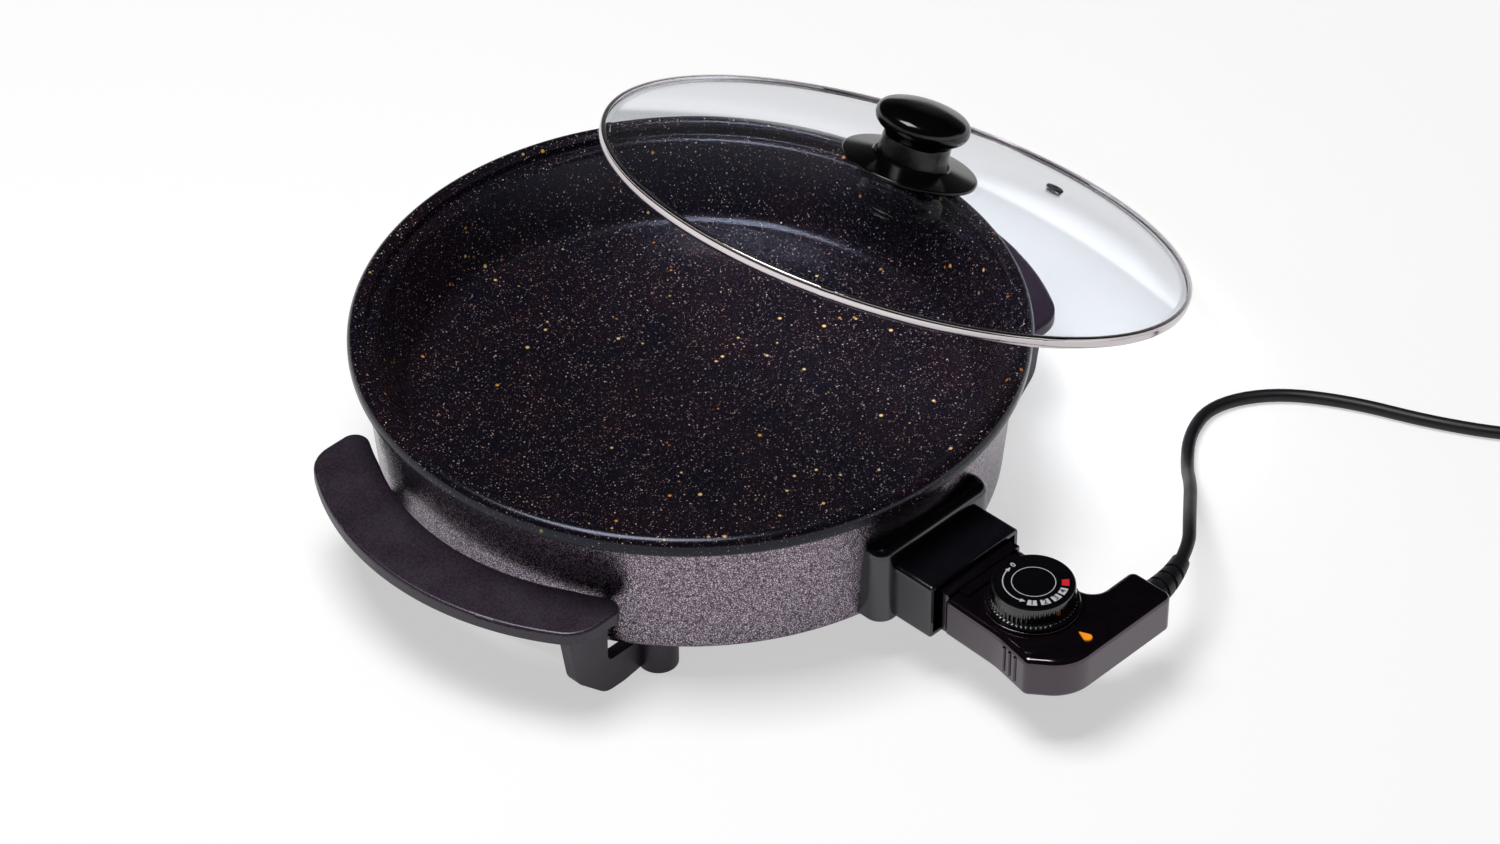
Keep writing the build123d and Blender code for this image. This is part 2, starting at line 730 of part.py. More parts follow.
with BuildPart() as control_upper_case:
    with BuildSketch(Plane.XY.offset(seam)) as upper_plan:
        with BuildLine():
            FilletPolyline(*case_outline, radius=case_corners, close=True)
        make_face()
    extrude(amount=case_top - seam)
    fillet(control_upper_case.faces().sort_by(Axis.Z)[-1].edges(), radius=case_top_rounding)
    with BuildSketch(Plane.XY.offset(seam)):
        with Locations((0, -(neck_front + case_back + case_wall) / 2)):
            Rectangle(2 * neck_half_width, case_back + case_wall - neck_front)
    extrude(amount=neck_top - seam)
    with BuildSketch(Plane.XY.offset(case_top - case_wall)):
        with Locations((0, -(ridge_back + ridge_front) / 2)):
            Rectangle(2 * ridge_half_width, ridge_front - ridge_back)
    extrude(amount=case_wall + ridge_height)
    with BuildSketch(Plane.XY.offset(seam)):
        with Locations(*grip_bars):
            Circle(grip_bar_radius)
    extrude(amount=case_top - case_top_rounding - seam)
    with BuildSketch(Plane.XY.offset(seam)):
        offset(upper_plan.sketch, amount=-case_wall)
    extrude(amount=case_top - case_wall - seam, mode=Mode.SUBTRACT)
    with BuildSketch(Plane.XY.offset(seam)):
        with Locations((0, -(neck_front + case_back + 2 * case_wall) / 2)):
            Rectangle(2 * carrier_half, case_back + 2 * case_wall - neck_front)
    extrude(amount=neck_top - case_wall - seam, mode=Mode.SUBTRACT)
    with BuildSketch(Plane.XY.offset(seam)):
        with Locations(*post_places):
            Circle(case_post_radius)
    extrude(amount=case_top - case_wall - seam)
    with BuildSketch(Plane.XY.offset(seam)):
        with Locations(*post_places):
            Circle(case_screw_radius + bore_clearance)
    extrude(amount=case_screw_reach, mode=Mode.SUBTRACT)
    with BuildSketch(Plane.XY.offset(seam)):
        with Locations((0, -dial_y)):
            Circle(spindle_radius + spindle_clearance)
    extrude(amount=case_top, mode=Mode.SUBTRACT)
    with BuildSketch(relief_plane.offset(-case_wall - 0.01)):
        Circle(relief_groove_radius + bore_clearance)
    extrude(amount=case_wall + 0.02, mode=Mode.SUBTRACT)
    with BuildSketch(Plane.XY.offset(case_top - case_wall)):
        with BuildLine():
            lens_side = lens_radius + lens_seat_clearance
            arc = CenterArc((0, -lens_y), lens_side, lens_arc_start, lens_arc_turn)
            Line(arc @ 0, (0, -lens_tip_y + lens_seat_clearance))
            Line((0, -lens_tip_y + lens_seat_clearance), arc @ 1)
        make_face()
    extrude(amount=2 * case_wall, mode=Mode.SUBTRACT)
control_upper_case.part.label = "control_upper_case"

# Dial collar
with BuildPart() as dial_collar:
    with BuildSketch(Plane.XY.offset(case_top)):
        with Locations((0, -dial_y)):
            Circle(collar_radius)
            Circle(collar_inner_radius, mode=Mode.SUBTRACT)
    extrude(amount=collar_height)
    fillet(dial_collar.faces().sort_by(Axis.Z)[-1].edges(), radius=collar_height / 4)
dial_collar.part.label = "dial_collar"

# Pointer lens, a teardrop let into the top of the case, over the pilot lamp
with BuildPart() as pointer_lens:
    with BuildSketch(Plane.XY.offset(case_top - case_wall)):
        with BuildLine():
            arc = CenterArc((0, -lens_y), lens_radius, lens_arc_start, lens_arc_turn)
            Line(arc @ 0, (0, -lens_tip_y))
            Line((0, -lens_tip_y), arc @ 1)
        make_face()
    extrude(amount=case_wall + lens_height)
    fillet(pointer_lens.faces().sort_by(Axis.Z)[-1].edges(), radius=lens_height / 3)
pointer_lens.part.label = "pointer_lens"

lamp_top = case_top - case_wall - lamp_gap
with BuildPart() as pilot_lamp:
    with BuildSketch(Plane.XY.offset(frame_level)):
        with Locations((0, -lens_y)):
            Circle(lamp_radius)
    extrude(amount=lamp_top - frame_level)
    fillet(pilot_lamp.faces().sort_by(Axis.Z)[-1].edges(), radius=lamp_radius * 0.7)
pilot_lamp.part.label = "pilot_lamp"

# Contact carrier and sleeves in the neck
carrier_front = neck_front + carrier_front_gap
carrier_level = neck_bottom + case_wall
carrier_height = neck_top - neck_bottom - 2 * case_wall - carrier_clearance
sleeve_bore = pin_radius + sleeve_bore_clearance
sleeve_front = carrier_front + sleeve_front_gap
with BuildPart() as contact_carrier:
    with BuildSketch(wall_plane.offset(carrier_front)):
        with Locations((0, carrier_level + carrier_height / 2 - socket_level)):
            Rectangle(2 * (carrier_half - carrier_clearance), carrier_height)
        with Locations(*pin_places):
            Circle(sleeve_radius + bore_clearance, mode=Mode.SUBTRACT)
        Circle(probe_radius + bore_clearance, mode=Mode.SUBTRACT)
    extrude(amount=carrier_depth)
contact_carrier.part.label = "contact_carrier"

with BuildPart() as contact_sleeves:
    with BuildSketch(wall_plane.offset(sleeve_front)):
        with Locations(*pin_places):
            Circle(sleeve_radius)
            Circle(sleeve_bore, mode=Mode.SUBTRACT)
    extrude(amount=sleeve_length)
contact_sleeves.part.label = "contact_sleeves"

# Probe
with BuildPart() as probe_rod:
    with BuildSketch(wall_plane.offset(probe_tip)):
        Circle(probe_radius)
    extrude(amount=frame_front + frame_sheet - probe_tip)
    fillet(probe_rod.faces().sort_by(Axis.Y)[-1].edges(), radius=probe_radius * 0.8)
    with BuildSketch(wall_plane.offset(frame_front - probe_collar_length)):
        Circle(probe_collar_radius)
    extrude(amount=probe_collar_length)
probe_rod.part.label = "probe_rod"

# Switch mechanism: frame, bimetal blade, insulator and contact spring in one stack
with BuildPart() as mechanism_frame:
    with BuildSketch(Plane.XY.offset(frame_level)):
        with Locations((0, -(frame_front + frame_back) / 2)):
            Rectangle(2 * frame_half_width, frame_back - frame_front)
    extrude(amount=frame_sheet)
    with BuildSketch(Plane.XZ.offset(frame_front)):
        with Locations((0, (frame_level + frame_lip_top) / 2)):
            Rectangle(2 * frame_half_width, frame_lip_top - frame_level)
        with Locations((0, socket_level)):
            Circle(probe_radius + bore_clearance, mode=Mode.SUBTRACT)
    extrude(amount=frame_sheet)
mechanism_frame.part.label = "mechanism_frame"

stack_level = frame_level + frame_sheet
stack_front = frame_back - stack_length
with BuildPart() as bimetal_blade:
    with BuildSketch(Plane.YZ):
        with BuildLine():
            Polyline(
                (-frame_back, stack_level),
                (-stack_front, stack_level),
                (-stack_front + 4, stack_level + 2),
                (-frame_front - 6, stack_level + 2),
            )
            offset(amount=blade_sheet, side=Side.LEFT)
        make_face()
    extrude(amount=blade_width / 2, both=True)
bimetal_blade.part.label = "bimetal_blade"

insulator_level = stack_level + blade_sheet
with BuildPart() as stack_insulator:
    with BuildSketch(Plane.XY.offset(insulator_level)):
        with Locations((0, -(stack_front + insulator_setback + frame_back) / 2)):
            Rectangle(blade_width, stack_length - insulator_setback)
    extrude(amount=stack_height)
stack_insulator.part.label = "stack_insulator"

spring_level = insulator_level + stack_height
spring_arm_level = spring_level + 1.5
with BuildPart() as contact_spring:
    with BuildSketch(Plane.YZ):
        with BuildLine():
            Polyline(
                (-frame_back, spring_level),
                (-stack_front, spring_level),
                (-stack_front + 3, spring_arm_level),
                (-frame_front - 8, spring_arm_level),
            )
            offset(amount=spring_sheet, side=Side.LEFT)
        make_face()
    extrude(amount=blade_width / 3, both=True)
contact_spring.part.label = "contact_spring"

# Case screws, from below
well_top = case_bottom + case_screw_well_depth
with BuildPart() as case_screws:
    with BuildSketch(Plane.XY.offset(well_top)):
        with Locations(*post_places):
            Circle(case_screw_radius)
    extrude(amount=seam + case_screw_reach - 1 - well_top)
    with BuildSketch(Plane.XY.offset(well_top)):
        with Locations(*post_places):
            Circle(case_screw_head_radius)
    extrude(amount=-case_screw_head_height)
    with BuildSketch(Plane.XY.offset(well_top - case_screw_head_height)):
        with Locations(*post_places):
            Rectangle(case_screw_head_radius, 0.7)
            Rectangle(0.7, case_screw_head_radius)
    extrude(amount=case_screw_head_height / 2, mode=Mode.SUBTRACT)
case_screws.part.label = "case_screws"

# Dial knob with fluted skirt, printed disc and the spindle that it turns
knob_bottom = case_top + collar_height + dial_gap
flange_top_level = knob_bottom + dial_flange_height
disc_level = dial_top - disc_thickness
spindle_tip = spring_arm_level + spring_sheet + spindle_tip_gap
spindle_top = dial_top - dial_skin
dial_plane = Plane(origin=(0, -dial_y, 0), x_dir=(1, 0, 0), z_dir=(0, -1, 0))
dial_axis = Axis((0, -dial_y, 0), (0, 0, 1))
with BuildPart() as dial_knob:
    with BuildSketch(dial_plane):
        with BuildLine():
            Polyline(
                (0, knob_bottom + 2),
                (dial_hub_radius, knob_bottom + 2),
                (dial_hub_radius, spindle_top),
                (dial_head_radius - dial_wall, spindle_top),
                (dial_foot_radius - dial_wall, knob_bottom),
                (dial_flange_radius, knob_bottom),
                (dial_flange_radius, flange_top_level),
                (dial_foot_radius, flange_top_level),
                (dial_head_radius, dial_top - dial_chamfer),
                (dial_head_radius - dial_chamfer, dial_top),
                (disc_radius + bore_clearance, dial_top),
                (disc_radius + bore_clearance, disc_level),
                (0, disc_level),
                close=True,
            )
        make_face()
    revolve(axis=dial_axis)
    with BuildSketch(Plane.XY.offset(flange_top_level)):
        with Locations((0, -dial_y)):
            with PolarLocations(dial_foot_radius + flute_radius * 0.35, flute_count):
                Circle(flute_radius)
    extrude(amount=dial_top, mode=Mode.SUBTRACT)
    with BuildSketch(Plane.XY.offset(knob_bottom)):
        with Locations((0, -dial_y)):
            Circle(spindle_radius + spindle_clearance)
    extrude(amount=spindle_top - knob_bottom, mode=Mode.SUBTRACT)
dial_knob.part.label = "dial_knob"

with BuildPart() as dial_disc:
    with BuildSketch(Plane.XY.offset(disc_level)):
        with Locations((0, -dial_y)):
            Circle(disc_radius)
    extrude(amount=disc_thickness)
dial_disc.part.label = "dial_disc"

with BuildPart() as adjusting_spindle:
    with BuildSketch(Plane.XY.offset(spindle_tip)):
        with Locations((0, -dial_y)):
            Circle(spindle_radius)
    extrude(amount=spindle_top - spindle_tip)
    fillet(adjusting_spindle.faces().sort_by(Axis.Z)[0].edges(), radius=spindle_radius / 2)
    with BuildSketch(Plane.XY.offset(knob_bottom)):
        with Locations((spindle_flat + spindle_radius, -dial_y)):
            Rectangle(2 * spindle_radius, 4 * spindle_radius)
    extrude(amount=spindle_top, mode=Mode.SUBTRACT)
adjusting_spindle.part.label = "adjusting_spindle"

# Strain relief: sleeve and collar inside the case, and outside a ribbed taper that bends with the cord
relief_section = Plane(origin=(arm_end_x, -relief_y, socket_level), x_dir=(1, 0, 0), z_dir=(0, -1, 0))
relief_axis = Axis((arm_end_x, -relief_y, socket_level), (1, 0, 0))
tail_x = relief_tail_end_x - arm_end_x
collar_x = -case_wall - bore_clearance
with BuildPart() as strain_relief:
    with BuildSketch(relief_section):
        with BuildLine():
            Polyline(
                (tail_x, 0),
                (tail_x, relief_tail_radius),
                (collar_x - relief_collar_length, relief_tail_radius),
                (collar_x - relief_collar_length, relief_collar_radius),
                (collar_x, relief_collar_radius),
                (collar_x, relief_groove_radius),
                (bore_clearance, relief_groove_radius),
                (bore_clearance, 0),
                close=True,
            )
        make_face()
    revolve(axis=relief_axis)
    with BuildLine(Plane.XY.offset(socket_level)) as relief_path:
        relief_arc = JernArc((arm_end_x + bore_clearance, -relief_y), (1, 0), relief_bend_radius, relief_bend)
    for i in range(relief_section_count):
        along_arc = i / (relief_section_count - 1)
        with BuildSketch(Plane(origin=relief_arc @ along_arc, z_dir=relief_arc % along_arc)):
            Circle(relief_root_radius + (relief_tip_radius - relief_root_radius) * along_arc)
    loft()
    for i in range(relief_rib_count):
        rib_start = (relief_rib_start + i * relief_rib_spacing) / relief_length
        rib_radius = relief_root_radius + (relief_tip_radius - relief_root_radius) * rib_start - relief_rib_depth
        with BuildSketch(Plane(origin=relief_arc @ rib_start, z_dir=relief_arc % rib_start)):
            Circle(relief_root_radius + 1)
            Circle(rib_radius, mode=Mode.SUBTRACT)
        extrude(amount=relief_rib_gap, mode=Mode.SUBTRACT)
strain_relief.part.label = "strain_relief"

# Cord clamp: a saddle over the sleeve of the strain relief
with BuildPart() as cord_clamp:
    with BuildSketch(Plane(origin=(clamp_x, -relief_y, socket_level), x_dir=(0, 1, 0), z_dir=(1, 0, 0))):
        Circle(relief_tail_radius + bore_clearance + clamp_sheet)
        with Locations((0, clamp_sheet / 2)):
            Rectangle(2 * clamp_half_span, clamp_sheet)
        Circle(relief_tail_radius + bore_clearance, mode=Mode.SUBTRACT)
        with Locations((0, -clamp_half_span)):
            Rectangle(4 * clamp_half_span, 2 * clamp_half_span, mode=Mode.SUBTRACT)
    extrude(amount=clamp_width / 2, both=True)
cord_clamp.part.label = "cord_clamp"

# Cord: straight runs joined by tangent arcs, each as large as its two runs allow
cord_rest = table_level + cord_radius
cord_drop = socket_level - cord_rest
cord_start = relief_arc @ 1
cord_heading = relief_arc % 1
cord_straight = 17
cord_route = [
    (31.5, 22.5, -3.8),
    (49.8, 43.7, -14.0),
    (74.8, 71.2, -29.5),
    (98.6, 96.0, -cord_drop),
    (129.1, 111.0, -cord_drop),
    (165.1, 113.0, -cord_drop),
    (200.1, 94.0, -cord_drop),
    (226.2, 55.0, -cord_drop),
    (245.1, 7.0, -cord_drop),
    (271.0, -38.5, -cord_drop),
    (302.1, -69.6, -cord_drop),
]
cord_points = [cord_start, cord_start + cord_heading * cord_straight]
cord_points += [cord_start + Vector(*step) for step in cord_route]
cord_runs = [(b - a) for a, b in zip(cord_points, cord_points[1:])]
cord_turns = [a.get_angle(b) for a, b in zip(cord_runs, cord_runs[1:])]
cord_bends = [
    0.45 * min(a.length, b.length) / math.tan(math.radians(turn / 2))
    for a, b, turn in zip(cord_runs, cord_runs[1:], cord_turns)
]
print("cord start", cord_start, "last point", cord_points[-1])
print("cord runs", [round(run.length, 1) for run in cord_runs])
print("cord turns", [round(turn, 1) for turn in cord_turns])
print("cord bend radii", [round(bend, 1) for bend in cord_bends])
with BuildPart() as cord_run:
    with BuildLine() as cord_path:
        FilletPolyline(*cord_points, radius=cord_bends)
    with BuildSketch(Plane(origin=cord_points[0], z_dir=cord_runs[0])):
        Circle(cord_radius)
    sweep(path=cord_path.line)
cord_run.part.label = "cord_run"
cord_length = cord_path.wire().length
print("cord volume ratio", round(cord_run.part.volume / (math.pi * cord_radius**2 * cord_length), 4))

# Coil: three turns in two layers, spiralling in on the table and out on top. Each half turn is two arcs.
along = cord_runs[-1].normalized()
across = Vector(-along.Y, along.X, 0)
coil_entry = cord_points[-1] + along * (2 * cord_radius)
coil_centre = coil_entry - across * coil_outer_ring
half_step = coil_ring_step / 2
inner_ring = coil_outer_ring - 2 * half_step - coil_inner_step
coil_rings = [
    coil_outer_ring,
    coil_outer_ring - half_step,
    coil_outer_ring - 2 * half_step,
    inner_ring,
    inner_ring,
    inner_ring + coil_inner_step,
    inner_ring + coil_inner_step + half_step,
]
coil_rises = [0, 0, 0, 0, coil_layer_step, coil_layer_step, coil_layer_step + coil_lift]
coil_nodes = [
    coil_centre + across * ((-1) ** i * ring) + Vector(0, 0, rise)
    for i, (ring, rise) in enumerate(zip(coil_rings, coil_rises))
]
coil_end = coil_nodes[-1] + along * coil_tail
with BuildPart() as cord_coil:
    with BuildLine() as coil_path:
        Line(cord_points[-1], coil_entry)
        for i, (start, end) in enumerate(zip(coil_nodes, coil_nodes[1:])):
            heading = along * (-1) ** i
            joint = (start + end) * 0.5 + heading * ((end - start).length / 2)
            TangentArc(start, joint, tangent=heading)
            TangentArc(joint, end, tangent=(end - start).normalized())
        Line(coil_nodes[-1], coil_end)
    with BuildSketch(Plane(origin=cord_points[-1], z_dir=along)):
        Circle(cord_radius)
    sweep(path=coil_path.line)
cord_coil.part.label = "cord_coil"
coil_wire = coil_path.wire()
coil_length = coil_wire.length
print("coil volume ratio", round(cord_coil.part.volume / (math.pi * cord_radius**2 * coil_length), 4))
print("cord and coil length", round(cord_length, 1), round(coil_length, 1))

# Least gap of the coil to itself, measured on points two millimetres apart
gap_steps = int(coil_length / 2)
coil_samples = [coil_wire.position_at(i / gap_steps) for i in range(gap_steps + 1)]
half_turn_steps = int(math.pi * inner_ring / 2)
least_distance = min(
    (coil_samples[i] - coil_samples[j]).length
    for i in range(len(coil_samples))
    for j in range(i + half_turn_steps, len(coil_samples))
)
print("least gap in the coil", round(least_distance - 2 * cord_radius, 2))
print("coil diameters in cord diameters", round(sum(coil_rings) / len(coil_rings) / cord_radius, 1))

# Mains plug, lying on its flat side beside the coil
plug_section = Plane(origin=coil_end, x_dir=along, z_dir=-across)
plug_axis = Axis(coil_end, along)
boot_x = plug_boot_length
shoulder_x = boot_x + plug_shoulder_length
face_x = shoulder_x + plug_head_length
plug_cross = Plane(origin=coil_end, x_dir=across, z_dir=along)
slot_bottom = plug_face_radius - plug_slot_depth
with BuildPart() as plug_body:
    with BuildSketch(plug_section):
        with BuildLine():
            FilletPolyline(
                (0, 0),
                (0, plug_boot_radius),
                (boot_x, plug_shoulder_radius),
                (shoulder_x, plug_face_radius),
                (face_x, plug_face_radius),
                (face_x, 0),
                radius=[0, 0, 12, 8, 1.5, 0],
                close=True,
            )
        make_face()
    revolve(axis=plug_axis)
    with BuildSketch(plug_cross):
        Rectangle(4 * plug_face_radius, 2 * plug_flat)
    extrude(amount=face_x, mode=Mode.INTERSECT)
    with BuildSketch(plug_cross.offset(shoulder_x)):
        with Locations((slot_bottom + plug_slot_depth, 0), (-slot_bottom - plug_slot_depth, 0)):
            Rectangle(2 * plug_slot_depth, plug_slot_width)
    extrude(amount=plug_head_length, mode=Mode.SUBTRACT)
    for i in range(plug_rib_count):
        with BuildSketch(plug_cross.offset((i + 1) * plug_rib_spacing)):
            Rectangle(3 * plug_boot_radius, 4 * plug_boot_radius)
            Rectangle(4 * plug_boot_radius, 1.2 * plug_boot_radius, mode=Mode.SUBTRACT)
        extrude(amount=plug_rib_gap, mode=Mode.SUBTRACT)
plug_body.part.label = "plug_body"

with BuildPart() as plug_pins:
    with BuildSketch(plug_cross.offset(face_x)):
        with Locations((0, -plug_pin_spacing / 2), (0, plug_pin_spacing / 2)):
            Circle(plug_pin_radius)
    extrude(amount=plug_pin_length)
    chamfer(plug_pins.faces().sort_by(plug_axis)[-2:].edges(), length=plug_pin_radius * 0.5)
plug_pins.part.label = "plug_pins"

contact_reach = slot_bottom + plug_contact_gap + plug_contact_sheet / 2
with BuildPart() as plug_earth_contacts:
    with BuildSketch(plug_cross.offset(shoulder_x + 1)):
        with Locations((contact_reach, 0), (-contact_reach, 0)):
            Rectangle(plug_contact_sheet, plug_slot_width - 1.5)
    extrude(amount=plug_head_length - 2)
plug_earth_contacts.part.label = "plug_earth_contacts"

# Lid: everything turns about the lid's own axis
tilt = math.radians(lid_tilt)
lid_origin = Vector(lid_x, lid_y, lid_z)
lid_right = Vector(math.cos(tilt), 0, -math.sin(tilt))
lid_up = Vector(math.sin(tilt), 0, math.cos(tilt))
lid_section = Plane(origin=lid_origin, x_dir=lid_right, z_dir=(0, -1, 0))
lid_plane = Plane(origin=lid_origin, x_dir=lid_right, z_dir=lid_up)
lid_axis = Axis(lid_origin, lid_up)
glass_edge_radius = band_radius - band_sheet - glass_gap
brim_bottom = band_sheet + glass_gap
brim_top = brim_bottom + glass_thickness
dome_radius = glass_edge_radius - glass_brim
dome_sagitta = glass_rise - brim_top
sphere_radius = (dome_radius**2 + dome_sagitta**2) / (2 * dome_sagitta)


def glass_top_at(radius):
    return glass_rise - sphere_radius + math.sqrt(sphere_radius**2 - radius**2)


vent_place = (
    vent_distance * math.cos(math.radians(vent_angle)),
    vent_distance * math.sin(math.radians(vent_angle)),
)
with BuildPart() as lid_glass:
    with BuildSketch(lid_section):
        with BuildLine():
            under = ThreePointArc(
                (0, glass_rise - glass_thickness),
                (dome_radius / 2, glass_top_at(dome_radius / 2) - glass_thickness),
                (dome_radius, brim_bottom),
            )
            Polyline(
                (dome_radius, brim_bottom),
                (glass_edge_radius, brim_bottom),
                (glass_edge_radius, brim_top),
                (dome_radius, brim_top),
            )
            over = ThreePointArc(
                (dome_radius, brim_top),
                (dome_radius / 2, glass_top_at(dome_radius / 2)),
                (0, glass_rise),
            )
            Line(over @ 1, under @ 0)
        make_face()
    revolve(axis=lid_axis)
    with BuildSketch(lid_plane):
        Circle(lid_hole_radius)
        with Locations(vent_place):
            Circle(vent_hole_radius)
    extrude(amount=2 * glass_rise, mode=Mode.SUBTRACT)
lid_glass.part.label = "lid_glass"

# Steel band, a channel round the edge of the glass
lip_inner_radius = band_radius - band_lip
with BuildPart() as lid_band:
    with BuildSketch(lid_section):
        with Locations((band_radius - band_lip / 2, band_height / 2)):
            RectangleRounded(band_lip, band_height, band_sheet / 2)
        with Locations((lip_inner_radius + (band_lip - band_sheet) / 2, band_height / 2)):
            Rectangle(band_lip - band_sheet, band_height - 2 * band_sheet, mode=Mode.SUBTRACT)
    revolve(axis=lid_axis)
lid_band.part.label = "lid_band"

# Knob base, waist and cap. The base follows the dome of the glass.
base_under = lid_seat_gap
with BuildPart() as lid_knob_base:
    with BuildSketch(lid_section):
        with BuildLine():
            hollow = ThreePointArc(
                (lid_screw_radius + screw_clearance, glass_top_at(0) + base_under),
                (knob_base_radius / 2, glass_top_at(knob_base_radius / 2) + base_under),
                (knob_base_radius, glass_top_at(knob_base_radius) + base_under),
            )
            rise = glass_top_at(knob_base_radius) + base_under + knob_base_edge
            side = Line(hollow @ 1, (knob_base_radius, rise))
            top = Line(side @ 1, (knob_foot_radius + 1, knob_foot_level - 0.8))
            shoulder = Line(top @ 1, (knob_foot_radius, knob_foot_level))
            lid_face = Line(shoulder @ 1, (lid_screw_radius + screw_clearance, knob_foot_level))
            Line(lid_face @ 1, hollow @ 0)
        make_face()
    revolve(axis=lid_axis)
    fillet(lid_knob_base.edges().group_by(SortBy.LENGTH)[-1], radius=1.0)
lid_knob_base.part.label = "lid_knob_base"

screw_top = glass_rise - glass_thickness + lid_screw_reach
with BuildPart() as lid_knob:
    with BuildSketch(lid_section):
        with BuildLine():
            column = Polyline(
                (0, knob_foot_level),
                (knob_waist_radius, knob_foot_level),
                (knob_waist_radius - 0.6, knob_cap_under - 5),
            )
            flare = Spline(
                column @ 1,
                (knob_waist_radius + 2.2, knob_cap_under - 0.6),
                (knob_cap_radius, knob_cap_level),
                tangents=[(0, 1), (0, 1)],
            )
            dome = Spline(
                flare @ 1,
                (knob_cap_radius * 0.76, knob_top - 2.6),
                (0, knob_top),
                tangents=[(0, 1), (-1, 0)],
            )
            Line(dome @ 1, column @ 0)
        make_face()
    revolve(axis=lid_axis)
    with BuildSketch(lid_plane.offset(knob_foot_level)):
        Circle(lid_screw_radius + bore_clearance)
    extrude(amount=screw_top - knob_foot_level + 1, mode=Mode.SUBTRACT)
lid_knob.part.label = "lid_knob"

# Knob screw with its washer under the glass
washer_top = glass_rise - glass_thickness - lid_seat_gap
washer_bottom = washer_top - lid_washer_thickness
with BuildPart() as lid_washer:
    with BuildSketch(lid_plane.offset(washer_bottom)):
        Circle(lid_washer_radius)
        Circle(lid_screw_radius + screw_clearance, mode=Mode.SUBTRACT)
    extrude(amount=lid_washer_thickness - 0.15)
    fillet(lid_washer.faces().sort_by(lid_axis)[0].edges().group_by(SortBy.LENGTH)[-1], radius=0.5)
lid_washer.part.label = "lid_washer"

with BuildPart() as lid_screw:
    with BuildSketch(lid_plane.offset(washer_bottom)):
        Circle(lid_screw_radius)
    extrude(amount=screw_top - washer_bottom)
    with BuildSketch(lid_plane.offset(washer_bottom)):
        Circle(lid_screw_head_radius)
    extrude(amount=-lid_screw_head_height)
    fillet(lid_screw.faces().sort_by(lid_axis)[0].edges(), radius=1.2)
    with BuildSketch(lid_plane.offset(washer_bottom - lid_screw_head_height)):
        Rectangle(lid_screw_head_radius * 1.1, 1.1)
        Rectangle(1.1, lid_screw_head_radius * 1.1)
    extrude(amount=lid_screw_head_height / 2, mode=Mode.SUBTRACT)
lid_screw.part.label = "lid_screw"

# Vent grommet, square to the glass where it sits
vent_height = glass_top_at(vent_distance)
vent_slope = math.asin(vent_distance / sphere_radius)
vent_out = Vector(math.cos(math.radians(vent_angle)), math.sin(math.radians(vent_angle)), 0)
lid_forward = lid_up.cross(lid_right)
vent_radial = lid_right * vent_out.X + lid_forward * vent_out.Y
vent_normal = lid_up * math.cos(vent_slope) + vent_radial * math.sin(vent_slope)
vent_origin = lid_origin + vent_radial * vent_distance + lid_up * vent_height
vent_section = Plane(origin=vent_origin, x_dir=vent_normal.cross(lid_forward), z_dir=vent_normal)
vent_shank_radius = vent_hole_radius - vent_fit
vent_top = lid_seat_gap + vent_lip
vent_under = -glass_thickness - lid_seat_gap
with BuildPart() as vent_grommet:
    with BuildSketch(vent_section.offset(vent_under - vent_lip)):
        Circle(vent_lip_radius - 1)
    extrude(amount=vent_lip)
    with BuildSketch(vent_section.offset(vent_under)):
        Circle(vent_shank_radius)
    extrude(amount=lid_seat_gap - vent_under)
    with BuildSketch(vent_section.offset(lid_seat_gap)):
        Circle(vent_lip_radius)
    extrude(amount=vent_lip)
    fillet(vent_grommet.faces().sort_by(Axis(vent_origin, vent_normal))[-1].edges(), radius=0.8)
    with BuildSketch(vent_section.offset(vent_under - vent_lip)):
        Circle(vent_bore)
    extrude(amount=vent_top - vent_under + vent_lip, mode=Mode.SUBTRACT)
vent_grommet.part.label = "vent_grommet"

export_step(pan_liner.part, "parts/pan_liner.step")
export_step(outer_shell.part, "parts/outer_shell.step")
export_step(heating_element.part, "parts/heating_element.step")
export_step(element_clips.part, "parts/element_clips.step")
export_step(probe_guide.part, "parts/probe_guide.step")
export_step(terminal_block.part, "parts/terminal_block.step")
export_step(terminal_pins.part, "parts/terminal_pins.step")
export_step(socket_housing.part, "parts/socket_housing.step")
export_step(socket_screws.part, "parts/socket_screws.step")
export_step(left_handle.part, "parts/left_handle.step")
export_step(right_handle.part, "parts/right_handle.step")
export_step(handle_screws.part, "parts/handle_screws.step")
export_step(handle_nuts.part, "parts/handle_nuts.step")
export_step(control_lower_case.part, "parts/control_lower_case.step")
export_step(control_upper_case.part, "parts/control_upper_case.step")
export_step(dial_collar.part, "parts/dial_collar.step")
export_step(pointer_lens.part, "parts/pointer_lens.step")
export_step(pilot_lamp.part, "parts/pilot_lamp.step")
export_step(contact_carrier.part, "parts/contact_carrier.step")
export_step(contact_sleeves.part, "parts/contact_sleeves.step")
export_step(probe_rod.part, "parts/probe_rod.step")
export_step(mechanism_frame.part, "parts/mechanism_frame.step")
export_step(bimetal_blade.part, "parts/bimetal_blade.step")
export_step(stack_insulator.part, "parts/stack_insulator.step")
export_step(contact_spring.part, "parts/contact_spring.step")
export_step(case_screws.part, "parts/case_screws.step")
export_step(dial_knob.part, "parts/dial_knob.step")
export_step(dial_disc.part, "parts/dial_disc.step")
export_step(adjusting_spindle.part, "parts/adjusting_spindle.step")
export_step(strain_relief.part, "parts/strain_relief.step")
export_step(cord_clamp.part, "parts/cord_clamp.step")
export_step(cord_run.part, "parts/cord_run.step")
export_step(cord_coil.part, "parts/cord_coil.step")
export_step(plug_body.part, "parts/plug_body.step")
export_step(plug_pins.part, "parts/plug_pins.step")
export_step(plug_earth_contacts.part, "parts/plug_earth_contacts.step")
export_step(lid_glass.part, "parts/lid_glass.step")
